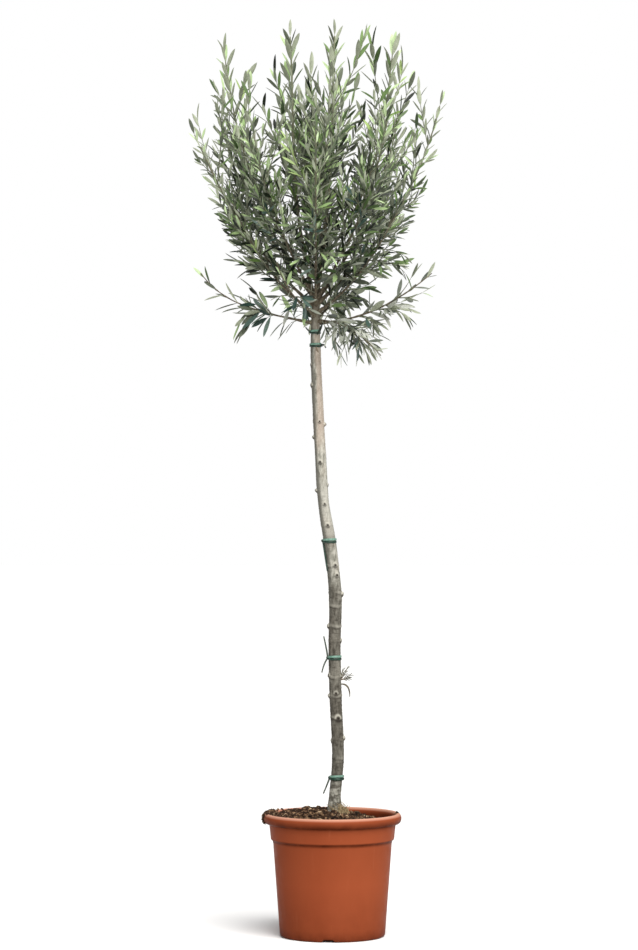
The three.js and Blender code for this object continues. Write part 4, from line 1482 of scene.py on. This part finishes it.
def make_foliage():
    """All shoots as one piece, and all leaves as one piece for each colour of upper side and underside."""
    masses = grown_masses()
    twigs = Bundle()
    for mass in masses:
        for twig in mass.twigs[1:]:
            if twig.kind != "main" and not twig.bears_leaves:
                continue
            steps = max(4, round(twig.line.length / TWIG["step"]))
            points = twig.line.spaced(steps)
            joint = 1 + TWIG["joint"] * (np.arange(steps) % 2)
            add_tube(twigs, points, twig.radius(np.linspace(0, 1, steps)) * joint, TWIG["sides"])
    pieces = [twigs.build("twigs", twig_material(), "bark")]
    tones = {(family, i): colour for family, colours in TONES.items() for i, colour in enumerate(colours)}
    uppers = {tone: Bundle() for tone in tones}
    unders = [Bundle() for _ in UNDER_TONES]
    faces = np.array(LEAF_FACES)
    for mass in masses:
        for tone, leaf in mass.leaves:
            # the underside takes the upper side's painted shade or light
            under = min(int(tones[tone][1] * 9), len(unders) - 1)
            uppers[tone].add(leaf_side(leaf, LEAF["thickness"] / 2), faces)
            unders[under].add(leaf_side(leaf, -LEAF["thickness"] / 2), faces[:, ::-1])
    sides = [("upper", uppers.values(), tones.values(), 0.42), ("under", unders, UNDER_TONES, 0.7)]
    for kind, bundles, colours, rough_at in sides:
        for i, (bundle, colour) in enumerate(zip(bundles, colours)):
            if bundle.count:
                material = leaf_material(f"leaf_{kind}_{i + 1}", colour, rough_at, 0.14)
                pieces.append(bundle.build(f"leaves_{kind}_{i + 1}", material, "foliage"))
    for piece in pieces:
        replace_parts(piece, *[f"mass_{row[0]}" for row in BRANCHES])


# ---------------------------------------------------------------- small things on the trunk

SPROUT = {"height": 0.556, "compass": 350, "length": 0.026, "leaf": 0.0125, "width": 0.0056}
DRY_LEAF = {"height": 0.547, "compass": 342, "bend": (0.021, -0.004, 0.002), "tip": (0.020, -0.004, -0.028)}
BROKEN_TWIG = {"height": 1.268, "compass": 300, "length": 0.016}


def add_blade(bundle, root, way, face, length, width, curl):
    """A small leaf of one colour, with both its sides."""
    leaf = (root, way, np.cross(face, way), face, length, width, curl)
    bundle.add(leaf_side(leaf, LEAF["thickness"] / 2), np.array(LEAF_FACES))
    bundle.add(leaf_side(leaf, -LEAF["thickness"] / 2), np.array(LEAF_FACES)[:, ::-1])


def on_trunk(height, compass, sunk=0.001):
    return trunk_line.at_height(height) + polar(compass, trunk_radius(height) - sunk, 0)


def make_trunk_details():
    """A young sprout, a dry curled leaf caught below it, and a snapped twig under the crown."""
    green, brown, wood = Bundle(), Bundle(), Bundle()
    rng = np.random.default_rng(3)
    start = on_trunk(SPROUT["height"], SPROUT["compass"])
    for rise, long in ((58, 1.0), (26, 0.8), (74, 0.75), (8, 0.6)):
        way = direction(SPROUT["compass"] + rng.normal(0, 12), rise) * SPROUT["length"] * long
        line = quadratic_bend(start, start + way * 0.5 + [0.003, 0, 0], start + way, np.linspace(0, 1, 7))
        add_tube(wood, line, np.linspace(0.0009, 0.0005, 7), 5)
        for share in (0.4, 0.7, 1.0):
            at = Line(line).at(share)
            for turn in (-1, 1):
                aside = sideways(unit(way), 90 * turn + 60 * share)
                blade_way = unit(way / np.linalg.norm(way) + aside * 0.55)
                face = unit(np.cross(blade_way, [0.2, 1, 0.1]))
                long = SPROUT["leaf"] * lerp(0.7, 1.1, rng.random())
                add_blade(green, at, blade_way, face, long, SPROUT["width"], 0.1)
    start = on_trunk(DRY_LEAF["height"], DRY_LEAF["compass"])
    rolled = quadratic_bend(start, start + DRY_LEAF["bend"], start + DRY_LEAF["tip"], np.linspace(0, 1, 14))
    add_tube(brown, rolled, 0.0003 + 0.0017 * np.sin(np.linspace(0.15, 1, 14) * pi * 0.96) ** 0.8, 8)
    start = on_trunk(BROKEN_TWIG["height"], BROKEN_TWIG["compass"])
    tip = start + direction(BROKEN_TWIG["compass"] - 60, 55) * BROKEN_TWIG["length"]
    add_tube(wood, np.linspace(start, tip, 6), [0.0020, 0.0017, 0.0015, 0.0014, 0.0012, 0.0004], 6)
    sprout_green = leaf_material("leaf_sprout", (0.105, 0.105, 0.062), 0.6, 0.35)
    green.build("sprout_leaves", sprout_green, "foliage")
    dry_brown = leaf_material("leaf_dry", (0.110, 0.095, 0.068), 0.8, 0.35)
    brown.build("dry_leaf", dry_brown, "foliage")
    dry_wood = chip_material("dry_twig", (0.11, 0.080, 0.052), (0.24, 0.190, 0.135))
    wood.build("trunk_twiglets", dry_wood, "bark")


# ---------------------------------------------------------------- studio


def make_camera():
    data = bpy.data.cameras.new("camera")
    data.lens = CAMERA["lens"]
    data.clip_end = 100
    camera = add_object("camera", data)
    camera.location = CAMERA["at"]
    camera.rotation_euler = (pi / 2, 0, 0)
    bpy.context.scene.camera = camera


def make_overhead_light():
    """A square light that shines on the middle of the tree."""
    data = bpy.data.lights.new("overhead", "AREA")
    data.size, data.energy = OVERHEAD["size"], OVERHEAD["power"]
    light = add_object("overhead", data)
    light.location = OVERHEAD["at"]
    light.rotation_euler = (Vector((0, 0, 1.0)) - Vector(OVERHEAD["at"])).to_track_quat("-Z", "Y").to_euler()


def make_key_light():
    """A wide, soft sun."""
    sun = bpy.data.lights.new("key", "SUN")
    sun.energy, sun.angle, sun.color = KEY["strength"], radians(KEY["angle"]), KEY["colour"]
    key = add_object("key", sun)
    key.rotation_euler = Vector(direction(*KEY["from"])).to_track_quat("Z", "Y").to_euler()


def make_sky():
    """White surroundings that light the scene softly, and are plain white where they are seen."""
    world = bpy.data.worlds.new("studio")
    world.use_nodes = True
    nodes, links = world.node_tree.nodes, world.node_tree.links
    background = nodes["Background"]
    background.inputs["Color"].default_value = (1.0, 1.0, 1.0, 1)
    seen = nodes.new("ShaderNodeLightPath").outputs["Is Camera Ray"]
    strength = nodes.new("ShaderNodeMapRange")
    strength.inputs["To Min"].default_value = SKY["lights"]
    strength.inputs["To Max"].default_value = SKY["seen"]
    links.new(seen, strength.inputs["Value"])
    links.new(strength.outputs["Result"], background.inputs["Strength"])
    bpy.context.scene.world = world


def make_floor():
    floor = bpy.data.meshes.new("floor")
    reach = FLOOR["reach"]
    corners = [(-reach, -reach, 0), (reach, -reach, 0), (reach, reach, 0), (-reach, reach, 0)]
    floor.from_pydata(corners, [], [(0, 1, 2, 3)])
    paper = Shader("floor_paper", 0.9, 0.1)
    paper.surface.inputs["Base Color"].default_value = FLOOR["colour"]
    floor.materials.append(paper.material)
    ground = add_object("floor", floor)


# ---------------------------------------------------------------- assembly

bpy.context.scene.view_settings.view_transform = "Standard"
make_camera()
make_sky()
make_key_light()
make_overhead_light()
make_floor()
make_pot()
make_soil()
make_clods()
make_chips()
make_moss()
make_trunk(bark_material())
make_ties()
make_boughs(bough_material())
make_foliage()
make_trunk_details()
